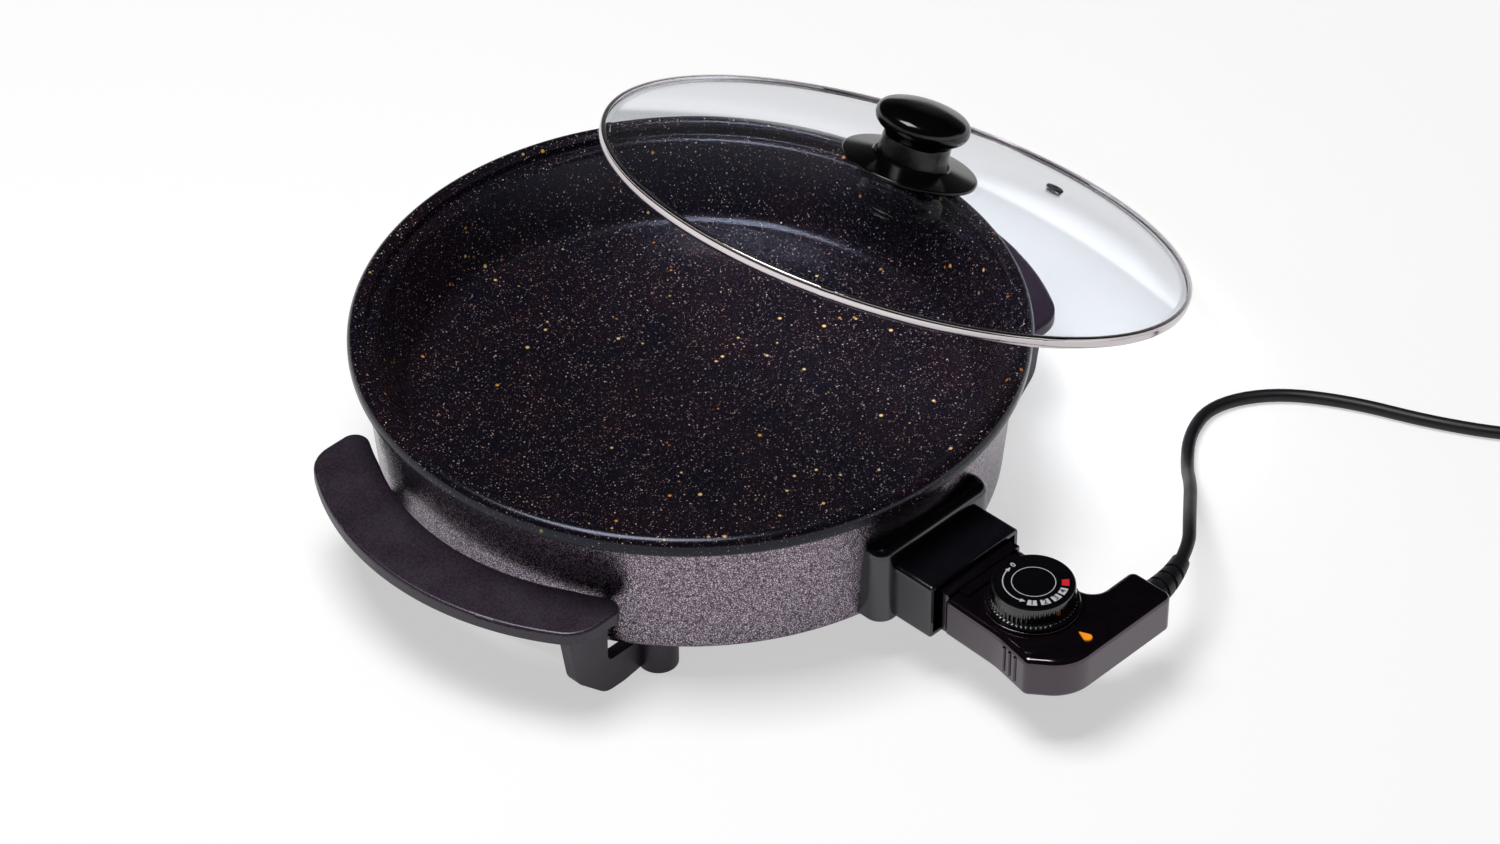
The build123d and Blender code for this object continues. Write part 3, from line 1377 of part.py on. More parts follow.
export_step(lid_band.part, "parts/lid_band.step")
export_step(lid_knob_base.part, "parts/lid_knob_base.step")
export_step(lid_knob.part, "parts/lid_knob.step")
export_step(lid_washer.part, "parts/lid_washer.step")
export_step(lid_screw.part, "parts/lid_screw.step")
export_step(vent_grommet.part, "parts/vent_grommet.step")
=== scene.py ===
import math

import bmesh
import bpy
from mathutils import Matrix, Vector


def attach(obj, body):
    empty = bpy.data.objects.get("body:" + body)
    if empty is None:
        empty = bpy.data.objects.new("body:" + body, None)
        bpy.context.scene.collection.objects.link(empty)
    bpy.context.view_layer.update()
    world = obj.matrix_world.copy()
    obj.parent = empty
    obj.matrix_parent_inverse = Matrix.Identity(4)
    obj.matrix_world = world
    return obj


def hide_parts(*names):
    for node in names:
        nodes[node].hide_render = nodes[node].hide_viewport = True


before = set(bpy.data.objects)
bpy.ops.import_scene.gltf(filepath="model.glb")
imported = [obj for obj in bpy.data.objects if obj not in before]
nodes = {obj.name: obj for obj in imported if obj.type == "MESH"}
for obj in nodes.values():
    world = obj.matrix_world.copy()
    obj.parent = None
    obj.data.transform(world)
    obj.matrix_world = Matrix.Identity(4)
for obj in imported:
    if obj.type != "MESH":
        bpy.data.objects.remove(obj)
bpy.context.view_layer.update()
scene = bpy.context.scene
scene.view_settings.view_transform = "Standard"
print("frame loaded with", len(nodes), "nodes")

# Camera, looking down on the pan with the control at the front right
camera = {
    "place": (-1.6611, -1.6611, 1.9554),
    "aim": (-0.0016, -0.0504, 0.0445),
    "lens": 123.4,
    "sensor": 36.0,
    "nearest": 0.05,
    "farthest": 60,
}


def turnedTowards(place, aim):
    return (Vector(aim) - Vector(place)).to_track_quat("-Z", "Y").to_euler()


def makeCamera():
    data = bpy.data.cameras.new("camera")
    data.lens = camera["lens"]
    data.sensor_width = camera["sensor"]
    data.clip_start = camera["nearest"]
    data.clip_end = camera["farthest"]
    made = bpy.data.objects.new("camera", data)
    scene.collection.objects.link(made)
    made.location = camera["place"]
    made.rotation_euler = turnedTowards(camera["place"], camera["aim"])
    scene.camera = made


makeCamera()
print("camera placed")


# Colours
def tone(red, green, blue):
    # a colour as an eye picks it, 0 to 255, turned into the linear value that the shader needs
    linear = [((c / 255 + 0.055) / 1.055) ** 2.4 if c > 10 else c / 255 / 12.92 for c in (red, green, blue)]
    return (*linear, 1.0)


def grey(value):
    return (value, value, value, 1.0)


# Small helpers for node trees; owner is a material or the world
def addNode(owner, kind, settings=None, **inputs):
    # an input is named as its socket is, or i0, i1 and so on by its place
    made = owner.node_tree.nodes.new(kind)
    for key, value in (settings or {}).items():
        setattr(made, key, value)
    for key, value in inputs.items():
        byPlace = key[0] == "i" and key[1:].isdigit()
        socket = made.inputs[int(key[1:]) if byPlace else key.replace("_", " ")]
        if isinstance(value, bpy.types.NodeSocket):
            owner.node_tree.links.new(value, socket)
        else:
            socket.default_value = value
    return made


def mathNode(owner, operation, first, second=0.0, third=0.0, clamp=False):
    settings = {"operation": operation, "use_clamp": clamp}
    return addNode(owner, "ShaderNodeMath", settings, i0=first, i1=second, i2=third).outputs[0]


def smoothStep(owner, value, start, end, before=0.0, after=1.0):
    settings = {"interpolation_type": "SMOOTHSTEP"}
    return addNode(owner, "ShaderNodeMapRange", settings, i0=value, i1=start, i2=end, i3=before, i4=after).outputs[0]


def alongDirection(owner, coords, direction):
    made = addNode(owner, "ShaderNodeVectorMath", {"operation": "DOT_PRODUCT"}, i0=coords, i1=direction)
    return made.outputs["Value"]


def newMaterial(name, colour, roughness, metallic=0.0, **sockets):
    material = bpy.data.materials.new(name)
    material.use_nodes = True
    shader = material.node_tree.nodes["Principled BSDF"]
    shader.inputs["Base Color"].default_value = colour
    shader.inputs["Roughness"].default_value = roughness
    shader.inputs["Metallic"].default_value = metallic
    for socket, value in sockets.items():
        shader.inputs[socket.replace("_", " ")].default_value = value
    return material


def feed(material, socketName, value):
    shader = material.node_tree.nodes["Principled BSDF"]
    material.node_tree.links.new(value, shader.inputs[socketName])


def surfaceCoords(material):
    return addNode(material, "ShaderNodeTexCoord").outputs["Object"]


def noise(material, coords, scale, detail=2.0):
    return addNode(material, "ShaderNodeTexNoise", Vector=coords, Scale=scale, Detail=detail).outputs["Fac"]


def ramp(material, factor, stops, interpolation="LINEAR"):
    made = addNode(material, "ShaderNodeValToRGB", Fac=factor)
    made.color_ramp.interpolation = interpolation
    elements = made.color_ramp.elements
    while len(elements) < len(stops):
        elements.new(0.5)
    for element, (position, colour) in zip(elements, stops):
        element.position = position
        element.color = colour
    return made.outputs["Color"]


def greyRamp(material, factor, stops, levels=(0.0, 1.0)):
    return ramp(material, factor, [(stop, grey(level)) for stop, level in zip(stops, levels)])


def blendColours(material, factor, under, over):
    return addNode(material, "ShaderNodeMix", {"data_type": "RGBA"}, i0=factor, i6=under, i7=over).outputs[2]


def bump(material, height, distance, strength, below=None):
    made = addNode(material, "ShaderNodeBump", Height=height, Distance=distance, Strength=strength)
    if below is not None:
        material.node_tree.links.new(below, made.inputs["Normal"])
    return made.outputs["Normal"]


# Stone look coating of the inner pan
coating = {
    "base": tone(24, 15, 22),
    "cloud": tone(14, 13, 22),
    "cloudScale": 26,
    "cloudStops": (0.35, 0.65),
    "roughness": 0.21,
    "roughnessSpread": (-0.015, 0.02),
    "wearScale": 60,
    "wearStops": (0.3, 0.7),
    "specular": 0.42,
    "specularTint": tone(222, 230, 255),
    "grainScale": 900,
    "grainDepth": 0.00006,
    "grainStrength": 0.6,
    "speckDepth": 0.00004,
    "speckStrength": 0.5,
    # each speck's radius is this much of its size, and up to this much more by chance
    "speckLeast": 0.45,
    "speckMore": 0.7,
    "speckEdge": 9.0,
    "specks": {
        "dust": {
            "scale": 1500, "size": 0.42, "share": 0.36,
            "tints": [tone(52, 43, 52), tone(78, 68, 78), tone(42, 34, 44), tone(74, 58, 56)],
        },
        "grit": {
            "scale": 980, "size": 0.38, "share": 0.22,
            "tints": [tone(140, 126, 128), tone(128, 98, 78), tone(176, 162, 158), tone(104, 90, 98), tone(84, 68, 78)],
        },
        "chips": {
            "scale": 640, "size": 0.29, "share": 0.16,
            "tints": [tone(220, 208, 198), tone(178, 136, 98), tone(198, 184, 178), tone(140, 124, 124)],
        },
        "fleck": {
            "scale": 160, "size": 0.22, "share": 0.12,
            "tints": [tone(214, 146, 58), tone(230, 172, 88), tone(184, 112, 60), tone(220, 184, 120)],
        },
    },
}


def specks(material, coords, layer):
    # cells of a voronoi pattern, of which a share holds one speck each, in one of the layer's tints
    cells = addNode(material, "ShaderNodeTexVoronoi", Vector=coords, Scale=layer["scale"])
    chance = addNode(material, "ShaderNodeSeparateColor", Color=cells.outputs["Color"]).outputs
    present = mathNode(material, "LESS_THAN", chance[0], layer["share"])
    more, least = layer["size"] * coating["speckMore"], layer["size"] * coating["speckLeast"]
    reach = mathNode(material, "MULTIPLY_ADD", chance[1], more, least)
    inside = mathNode(material, "SUBTRACT", reach, cells.outputs["Distance"])
    soft = mathNode(material, "MULTIPLY", inside, coating["speckEdge"], clamp=True)
    mask = mathNode(material, "MULTIPLY", soft, present)
    tints = layer["tints"]
    steps = [(i / len(tints), tint) for i, tint in enumerate(tints)]
    return mask, ramp(material, chance[2], steps, "CONSTANT")


def stoneCoating():
    c = coating
    made = newMaterial("stoneCoating", c["base"], c["roughness"],
                       Specular_IOR_Level=c["specular"], Specular_Tint=c["specularTint"])
    coords = surfaceCoords(made)
    cloud = greyRamp(made, noise(made, coords, c["cloudScale"], 3), c["cloudStops"])
    colour = blendColours(made, cloud, c["base"], c["cloud"])
    relief = 0.0
    for layer in c["specks"].values():
        mask, tint = specks(made, coords, layer)
        colour = blendColours(made, mask, colour, tint)
        relief = mathNode(made, "MAXIMUM", relief, mask)
    feed(made, "Base Color", colour)
    grain = bump(made, noise(made, coords, c["grainScale"]), c["grainDepth"], c["grainStrength"])
    feed(made, "Normal", bump(made, relief, c["speckDepth"], c["speckStrength"], grain))
    levels = [c["roughness"] + spread for spread in c["roughnessSpread"]]
    feed(made, "Roughness", greyRamp(made, noise(made, coords, c["wearScale"], 3), c["wearStops"], levels))
    return made


# Hammered paint of the body: pale islands between dark veins
hammered = {
    "stops": [(0.05, tone(76, 66, 78)), (0.30, tone(168, 155, 167)), (0.55, tone(216, 203, 216))],
    "islandScale": 760,
    "islandStops": (0.02, 0.30),
    "islandDepth": 0.00011,
    "islandStrength": 0.5,
    "swirlShare": 0.9,
    "swirlReach": 0.0009,
    "patchShare": 0.55,
    "roughness": 0.17,
    "metallic": 0.96,
    "specular": 0.6,
}


def hammeredPaint():
    h = hammered
    made = newMaterial("hammeredPaint", h["stops"][1][1], h["roughness"], h["metallic"],
                       Specular_IOR_Level=h["specular"])
    coords = surfaceCoords(made)
    swirl = addNode(made, "ShaderNodeTexNoise", Vector=coords, Scale=h["islandScale"] * h["swirlShare"], Detail=2.0)
    bent = addNode(made, "ShaderNodeVectorMath", {"operation": "MULTIPLY_ADD"},
                   i0=swirl.outputs["Color"], i1=(h["swirlReach"],) * 3, i2=coords)
    veins = addNode(made, "ShaderNodeTexVoronoi", {"feature": "DISTANCE_TO_EDGE"},
                    Vector=bent.outputs[0], Scale=h["islandScale"])
    island = greyRamp(made, veins.outputs["Distance"], h["islandStops"])
    patch = noise(made, coords, h["islandScale"] * h["patchShare"])
    feed(made, "Base Color", ramp(made, mathNode(made, "MULTIPLY", island, patch), h["stops"]))
    feed(made, "Normal", bump(made, island, h["islandDepth"], h["islandStrength"]))
    return made


# Moulded plastics, rubber and ceramic, each with its own grain
moulded = {
    # name: colour, roughness, grain scale, grain depth, how much paler the mottling is, and gloss
    "handlePlastic": (tone(27, 18, 28), 0.38, 900, 0.00014, 2.6,
                      {"Specular_IOR_Level": 0.8, "Specular_Tint": tone(246, 240, 255)}),
    "socketPlastic": (tone(8, 8, 14), 0.20, 900, 0.00002, 1.25,
                      {"Specular_IOR_Level": 1.0, "Specular_Tint": tone(246, 242, 255),
                       "Coat_Weight": 0.3, "Coat_Roughness": 0.08}),
    "casePlastic": (tone(12, 8, 12), 0.10, 220, 0.00001, 1.25,
                    {"Specular_IOR_Level": 0.9, "Specular_Tint": tone(255, 226, 250),
                     "Coat_Weight": 0.55, "Coat_Roughness": 0.04}),
    "dialPlastic": (tone(10, 9, 12), 0.14, 260, 0.00001, 1.25,
                    {"Specular_IOR_Level": 0.8, "Coat_Weight": 0.5, "Coat_Roughness": 0.05}),
    "knobPlastic": (tone(6, 6, 7), 0.13, 180, 0.00001, 1.25, {"Specular_IOR_Level": 0.45}),
    "innerPlastic": (tone(92, 70, 48), 0.45, 1200, 0.00004, 1.25, {}),
    "ceramicBody": (tone(226, 220, 206), 0.55, 1500, 0.00004, 1.25, {}),
    "cordRubber": (tone(21, 19, 23), 0.42, 1500, 0.00004, 1.25, {"Specular_IOR_Level": 0.45}),
    "sealRubber": (tone(40, 40, 42), 0.6, 1400, 0.00003, 1.25, {}),
}
mouldedGrain = {
    "strength": 0.6,
    "mottleShare": 0.7,
    "mottleStops": (0.38, 0.62),
    "hazeScale": 45,
    "hazeStops": (0.3, 0.7),
    "hazeSpread": (0.88, 1.14),
}


def mouldedPlastic(name, colour, roughness, grainScale, grainDepth, mottle, gloss):
    g = mouldedGrain
    made = newMaterial(name, colour, roughness, **gloss)
    coords = surfaceCoords(made)
    feed(made, "Normal", bump(made, noise(made, coords, grainScale), grainDepth, g["strength"]))
    levels = [roughness * spread for spread in g["hazeSpread"]]
    feed(made, "Roughness", greyRamp(made, noise(made, coords, g["hazeScale"], 3), g["hazeStops"], levels))
    paler = [c * mottle for c in colour[:3]] + [1.0]
    speckle = greyRamp(made, noise(made, coords, grainScale * g["mottleShare"]), g["mottleStops"])
    feed(made, "Base Color", blendColours(made, speckle, colour, paler))
    return made


# Metals, drawn or brushed
metals = {
    # name: colour, roughness, brush scale, brush depth
    "platedSteel": (tone(196, 196, 192), 0.28, 700, 0.00002),
    "elementSteel": (tone(112, 104, 98), 0.42, 500, 0.00004),
    "pinSteel": (tone(212, 210, 204), 0.18, 900, 0.00001),
    "brassSheet": (tone(206, 170, 96), 0.3, 700, 0.00002),
    "bandSteel": (tone(222, 214, 216), 0.14, 120, 0.00001),
}
brushing = {
    "stretch": (1.0, 1.0, 9.0),
    "stops": (0.25, 0.75),
    "spread": (0.75, 1.35),
    "strength": 0.4,
}


def wroughtMetal(name, colour, roughness, brushScale, brushDepth):
    made = newMaterial(name, colour, roughness, 1.0)
    stretched = addNode(made, "ShaderNodeMapping", Vector=surfaceCoords(made), Scale=brushing["stretch"])
    grain = noise(made, stretched.outputs[0], brushScale, 3)
    levels = [roughness * spread for spread in brushing["spread"]]
    feed(made, "Roughness", greyRamp(made, grain, brushing["stops"], levels))
    feed(made, "Normal", bump(made, grain, brushDepth, brushing["strength"]))
    return made


# Toughened glass of the lid, with faint smears
glass = {
    "colour": tone(240, 243, 249),
    "refraction": 1.45,
    "smearScale": 30,
    "smearStops": (0.55, 0.85),
    "smearLevels": (0.0, 0.012),
}


def glassMaterial():
    made = newMaterial("temperedGlass", glass["colour"], 0.0, Transmission_Weight=1.0, IOR=glass["refraction"])
    smear = noise(made, surfaceCoords(made), glass["smearScale"], 3)
    feed(made, "Roughness", greyRamp(made, smear, glass["smearStops"], glass["smearLevels"]))
    return made


# Lens and pilot lamp of the control; the lens gets a faint painted glow
lights = {
    "lensColour": tone(244, 150, 30),
    "lensRoughness": 0.22,
    # painted glow of the lens: it is no lamp, yet it emits this colour
    "lensPaintedGlow": tone(244, 140, 24),
    "lensPaintedGlowStrength": 0.25,
    "lampColour": tone(250, 190, 150),
    "lampRoughness": 0.05,
    "lampClearness": 0.8,
}

# Inks of the dial's scale
inks = {
    # name: colour, roughness
    "printWhite": (tone(198, 198, 203), 0.45),
    "printRed": (tone(214, 30, 44), 0.4),
    "printBlack": (tone(20, 19, 21), 0.4),
}
inkGrain = {"scale": 4000, "depth": 0.00001, "strength": 0.5}


def printMaterial(name, colour, roughness):
    made = newMaterial(name, colour, roughness)
    grain = noise(made, surfaceCoords(made), inkGrain["scale"], 1)
    feed(made, "Normal", bump(made, grain, inkGrain["depth"], inkGrain["strength"]))
    return made


finishes = {"stoneCoating": stoneCoating(), "hammeredPaint": hammeredPaint()}
for name, values in moulded.items():
    finishes[name] = mouldedPlastic(name, *values)
for name, values in metals.items():
    finishes[name] = wroughtMetal(name, *values)
finishes["lidGlass"] = glassMaterial()
# the pointer lens glows faintly: a painted glow, not a lamp
finishes["pointerOrange"] = newMaterial("pointerOrange", lights["lensColour"], lights["lensRoughness"],
                                        Emission_Color=lights["lensPaintedGlow"], Emission_Strength=lights["lensPaintedGlowStrength"])
finishes["lampGlass"] = newMaterial("lampGlass", lights["lampColour"], lights["lampRoughness"],
                                    Transmission_Weight=lights["lampClearness"])
for name, values in inks.items():
    finishes[name] = printMaterial(name, *values)
print("materials made:", len(finishes))

# Each CAD node's finish
nodeFinish = {
    "stoneCoating": ["pan_liner"],
    "hammeredPaint": ["outer_shell"],
    "handlePlastic": ["left_handle", "right_handle"],
    "socketPlastic": ["socket_housing"],
    "casePlastic": ["control_lower_case", "control_upper_case", "dial_collar"],
    "dialPlastic": ["dial_knob", "dial_disc"],
    "innerPlastic": ["contact_carrier", "cord_clamp", "stack_insulator"],
    "ceramicBody": ["terminal_block"],
    "cordRubber": ["cord_run", "cord_coil", "strain_relief", "plug_body"],
    "sealRubber": ["lid_washer", "vent_grommet"],
    "platedSteel": ["handle_screws", "handle_nuts", "socket_screws", "mechanism_frame", "case_screws",
                    "element_clips", "lid_screw"],
    "elementSteel": ["heating_element", "probe_guide", "probe_rod"],
    "pinSteel": ["terminal_pins", "plug_pins", "adjusting_spindle"],
    "brassSheet": ["contact_spring", "contact_sleeves", "bimetal_blade", "plug_earth_contacts"],
    "bandSteel": ["lid_band"],
    "lidGlass": ["lid_glass"],
    "knobPlastic": ["lid_knob", "lid_knob_base"],
    "pointerOrange": ["pointer_lens"],
    "lampGlass": ["pilot_lamp"],
}
for finish, names in nodeFinish.items():
    for name in names:
        mesh = nodes[name].data
        mesh.materials.clear()
        mesh.materials.append(finishes[finish])
nodes["lid_glass"].visible_shadow = False  # clear glass lets the light through
print("CAD nodes dressed")

# Cord: leaves the strain relief, drops to the table, runs out of view and is coiled there, its plug beside the coil
cord = {
    "radius": 0.004,
    "length": 1.2689,
    "route": [
        (0.0968, -0.2971, 0.0245), (0.1125, -0.2905, 0.0245), (0.1299, -0.2762, 0.0207), (0.1518, -0.2586, 0.0105),
        (0.1811, -0.2354, -0.005), (0.2062, -0.2119, -0.0215), (0.2319, -0.1921, -0.0215),
        (0.2619, -0.1841, -0.0215), (0.2969, -0.2031, -0.0215), (0.323, -0.2421, -0.0215),
        (0.3419, -0.2901, -0.0215), (0.3678, -0.3356, -0.0215), (0.3989, -0.3667, -0.0215),
    ],
    # the coil's radius and height above the table's turns, at each half turn
    "coilRings": [0.0503, 0.046, 0.0417, 0.0361, 0.0361, 0.0417, 0.046],
    "coilRises": [0, 0, 0, 0, 0.0085, 0.0085, 0.014],
    "pointsPerHalfTurn": 8,
    "tail": 0.026,
    "smoothness": 6,
}


def cordPoints():
    points = [Vector(p) for p in cord["route"]]
    along = (points[-1] - points[-2]).normalized()
    across = Vector((-along.y, along.x, 0))
    rings, rises, count = cord["coilRings"], cord["coilRises"], cord["pointsPerHalfTurn"]
    centre = points[-1] + along * 2 * cord["radius"] - across * rings[0]
    spread = 1 / math.cos(math.pi / count / 2)  # a spline of this order passes inside its points
    for half, (ringA, ringB, riseA, riseB) in enumerate(zip(rings, rings[1:], rises, rises[1:])):
        for k in range(count):
            t = (k + 0.5) / count
            angle = math.pi * (half + t)
            ring = (ringA + (ringB - ringA) * t) * spread
            rise = riseA + (riseB - riseA) * t * t * (3 - 2 * t)
            turned = across * ring * math.cos(angle) + along * ring * math.sin(angle)
            points.append(centre + turned + Vector((0, 0, rise)))
    last = centre + across * rings[-1] + Vector((0, 0, rises[-1]))
    points.append(last + along * cord["tail"])
    return points


def makeCord():
    points = cordPoints()
    curve = bpy.data.curves.new("cord", "CURVE")
    curve.dimensions = "3D"
    curve.bevel_depth = cord["radius"]
    curve.bevel_resolution = cord["smoothness"]
    curve.resolution_u = cord["smoothness"]
    curve.use_fill_caps = True
    spline = curve.splines.new("NURBS")
    spline.points.add(len(points) - 1)
    for point, place in zip(spline.points, points):
        point.co = (*place, 1.0)
    spline.order_u = 3
    spline.use_endpoint_u = True
    curve.materials.append(finishes["cordRubber"])
    made = bpy.data.objects.new("cord", curve)
    scene.collection.objects.link(made)
    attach(made, "control")
    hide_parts("cord_run", "cord_coil")


makeCord()
print("cord laid")

# Turned pieces: points closer than weld are made one, and an edge sharper than crease stays sharp
turning = {"weld": 1e-7, "crease": math.radians(38)}


def turnedMesh(name, profile, steps, reach=None):
    # turns a closed outline of (radius, height) points about an upright axis; reach changes a radius by its angle
    mesh = bpy.data.meshes.new(name)
    rings = bmesh.new()
    loops = []
    for k in range(steps):
        angle = 2 * math.pi * k / steps
        loop = []
        for radius, height in profile:
            if reach is not None:
                radius = reach(radius, height, angle)
            loop.append(rings.verts.new((radius * math.cos(angle), radius * math.sin(angle), height)))
        loops.append(loop)
    count = len(profile)
    for k in range(steps):
        here, there = loops[k], loops[(k + 1) % steps]
        for i in range(count):
            rings.faces.new((here[i], there[i], there[(i + 1) % count], here[(i + 1) % count]))
    bmesh.ops.remove_doubles(rings, verts=rings.verts, dist=turning["weld"])
    bmesh.ops.recalc_face_normals(rings, faces=rings.faces)
    for face in rings.faces:
        face.smooth = True
    for edge in rings.edges:
        edge.smooth = len(edge.link_faces) < 2 or edge.calc_face_angle(0) < turning["crease"]
    rings.to_mesh(mesh)
    rings.free()
    return mesh


def makePiece(name, mesh, finish, body, place=(0, 0, 0)):
    mesh.materials.append(finishes[finish])
    made = bpy.data.objects.new(name, mesh)
    scene.collection.objects.link(made)
    made.location = place
    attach(made, body)
    return made


# Lining of the pan: floor, leaning wall, ledge for the lid and a full rolled rim, in millimetres
lining = {
    # distance from the axis, height and corner rounding, from the middle of the floor to the rim's return
    "line": [
        (0, 37, 0), (167.5, 37, 12), (184, 84.2, 5), (189.5, 84.2, 1.2), (189.5, 92.5, 4),
        (200, 92.5, 6), (200, 81.6, 2), (195.6, 81.6, 0),
    ],
    "wall": 2.0,
    "rimWall": 1.3,
    "rimFrom": 80,
    "arcSteps": 8,
    "steps": 600,
}


def roundedLine(corners, arcSteps):
    line = [Vector(corners[0][:2])]
    for before, corner, after in zip(corners, corners[1:], corners[2:]):
        here, radius = Vector(corner[:2]), corner[2]
        back = (Vector(before[:2]) - here).normalized()
        ahead = (Vector(after[:2]) - here).normalized()
        half = back.angle(ahead) / 2
        centre = here + (back + ahead).normalized() * radius / math.sin(half)
        start = here + back * radius / math.tan(half) - centre
        end = here + ahead * radius / math.tan(half) - centre
        first = math.atan2(start.y, start.x)
        turn = (math.atan2(end.y, end.x) - first + math.pi) % (2 * math.pi) - math.pi
        for k in range(arcSteps + 1):
            angle = first + turn * k / arcSteps
            line.append(centre + radius * Vector((math.cos(angle), math.sin(angle))))
    line.append(Vector(corners[-1][:2]))
    return line


def liningProfile():
    inside = roundedLine(lining["line"], lining["arcSteps"])
    under = []
    for index, point in enumerate(inside):
        along = inside[min(index + 1, len(inside) - 1)] - inside[max(index - 1, 0)]
        wall = lining["wall"] if point.y < lining["rimFrom"] else lining["rimWall"]
        under.append(point + Vector((along.y, -along.x)).normalized() * wall)
    under[0].x = 0
    return [(point.x / 1000, point.y / 1000) for point in inside + under[::-1]]


def makeLining():
    mesh = turnedMesh("panLining", liningProfile(), lining["steps"])
    made = makePiece("panLining", mesh, "stoneCoating", "pan")
    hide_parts("pan_liner")


makeLining()
print("lining made")

# Lid band: pressed steel with a bead at its top, a bellied side and two lapped joints
lidBand = {
    "place": (0.1763, 0.0002, 0.0748),
    "tilt": 23.0,
    "radius": 0.186,
    # the section, in millimetres: distance in from the outside, and height above the lower edge
    "side": [
        (2.9, 7.0), (1.0, 7.0), (0.62, 6.93), (0.3, 6.75), (0.1, 6.45), (0.05, 6.15), (0.16, 5.88),
        (0.28, 5.74), (0.2, 5.56), (0.06, 5.3), (0.0, 4.8), (0.0, 4.2), (0.03, 3.5), (0.07, 2.8),
        (0.13, 2.1), (0.24, 1.4), (0.44, 0.8), (0.8, 0.35), (1.25, 0.08), (1.8, 0.0), (2.9, 0.0),
    ],
    "inside": [(3.0, 0.1), (3.0, 0.9), (0.9, 0.9), (0.9, 6.1), (3.0, 6.1), (3.0, 6.9)],
    "steps": 900,
    "joints": {-153.0: 1.1, -109.0: 2.4},  # angle round the lid and half width, in degrees
    "jointRise": 0.0003,
    "jointDepth": 0.0008,  # the joints lie on the outer side, up to this far in
    "jointTop": 0.0067,
}


def makeLidBand():
    b = lidBand

    def reach(radius, height, angle):
        if radius < b["radius"] - b["jointDepth"] or height > b["jointTop"]:
            return radius
        around = math.degrees(angle)
        near = [abs((around - joint + 180) % 360 - 180) < half for joint, half in b["joints"].items()]
        return radius + b["jointRise"] if any(near) else radius

    profile = [(b["radius"] - inward / 1000, level / 1000) for inward, level in b["side"] + b["inside"]]
    mesh = turnedMesh("lidBand", profile, b["steps"], reach)
    mesh.transform(Matrix.Translation(b["place"]) @ Matrix.Rotation(math.radians(b["tilt"]), 4, "Y"))
    made = makePiece("lidBandRing", mesh, "bandSteel", "lid")
    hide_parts("lid_band")


makeLidBand()
print("lid band made")

# Dial: a turned knob with a smooth shoulder over a fluted grip
dial = {
    "axis": (0.0, -0.270),
    "top": 0.054,
    # radius and height, in millimetres
    "flange": [(26.6, 39.7), (27.0, 40.1), (27.0, 41.0), (26.5, 41.5), (25.2, 41.6)],
    "grip": [(25.0, 41.9), (24.92, 42.88), (24.84, 43.86), (24.76, 44.84), (24.68, 45.82), (24.6, 46.8)],
    "head": [(24.55, 47.2), (24.0, 52.8), (23.7, 53.6), (23.2, 54.0)],
    "discSeat": [(21.95, 54.0), (21.65, 53.7), (21.65, 53.2), (0.0, 53.2)],
    "hollow": [(0.0, 50.8), (20.6, 50.8), (22.0, 39.7)],
    "fluteFrom": 0.0418,
    "fluteTo": 0.0469,
    "fluteInside": 0.0238,
    "fluteCount": 54,
    "fluteDepth": 0.0010,
    "fluteShape": 1.6,
    "stepsPerFlute": 8,
}


def makeDial():
    d = dial

    def reach(radius, height, angle):
        if radius < d["fluteInside"] or not d["fluteFrom"] < height < d["fluteTo"]:
            return radius
        wave = 0.5 - 0.5 * math.cos(angle * d["fluteCount"])
        return radius - d["fluteDepth"] * wave ** d["fluteShape"]

    outline = d["flange"] + d["grip"] + d["head"] + d["discSeat"] + d["hollow"]
    profile = [(radius / 1000, height / 1000) for radius, height in outline]
    mesh = turnedMesh("dialShell", profile, d["fluteCount"] * d["stepsPerFlute"], reach)
    made = makePiece("dialShell", mesh, "dialPlastic", "dial", (*d["axis"], 0))
    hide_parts("dial_knob")


# Scale on the disc: flat print that stands a hair above it; angles in degrees from the right
scale = {
    "lift": 0.00004,
    "ringRadius": 0.0122,
    "ringWidth": 0.00045,
    "ringSteps": 96,
    "bandSteps": 48,
    "blocks": {"1": 219, "2": 243, "3": 266, "4": 288},
    "redBlock": 312,
    "blockInner": 0.0158,
    "blockOuter": 0.0201,
    "blockTurn": 17,
    "digitHeight": 0.0038,
    "zeroHeight": 0.00361,
    "zeroAngle": 81.5,
    "zeroRadius": 0.0184,
    "fontShare": 1.35,  # the font's size for a glyph of height 1
    "boldness": 0.03,
    "arrowRadius": 0.0174,
    "arrowFrom": 101,
    "arrowTo": 196,
    "arrowWidth": 0.00065,
    "headSpread": 0.001425,
    "headTurn": 11,
}


def onCircle(radius, angle, height=0.0):
    return (radius * math.cos(math.radians(angle)), radius * math.sin(math.radians(angle)), height)


def bandMesh(name, inner, outer, start, end, steps):
    # a flat piece of a ring between two angles
    mesh = bpy.data.meshes.new(name)
    verts = []
    for k in range(steps + 1):
        angle = start + (end - start) * k / steps
        verts += [onCircle(inner, angle), onCircle(outer, angle)]
    mesh.from_pydata(verts, [], [(2 * k, 2 * k + 1, 2 * k + 3, 2 * k + 2) for k in range(steps)])
    return mesh


def arrowHead(angle, way):
    mesh = bpy.data.meshes.new("head")
    middle, spread = scale["arrowRadius"], scale["headSpread"]
    corners = [onCircle(middle - spread, angle), onCircle(middle + spread, angle)]
    corners.append(onCircle(middle, angle + way * scale["headTurn"]))
    mesh.from_pydata(corners, [], [(0, 1, 2)])
    return mesh


def glyphMesh(text, height):
    words = bpy.data.curves.new("glyph", "FONT")
    words.body = text
    words.size = height * scale["fontShare"]
    words.offset = height * scale["boldness"]
    words.align_x = "CENTER"
    words.align_y = "CENTER"
    holder = bpy.data.objects.new("glyph", words)
    scene.collection.objects.link(holder)
    bpy.context.view_layer.update()
    mesh = bpy.data.meshes.new_from_object(holder.evaluated_get(bpy.context.evaluated_depsgraph_get()))
    bpy.data.objects.remove(holder)
    return mesh


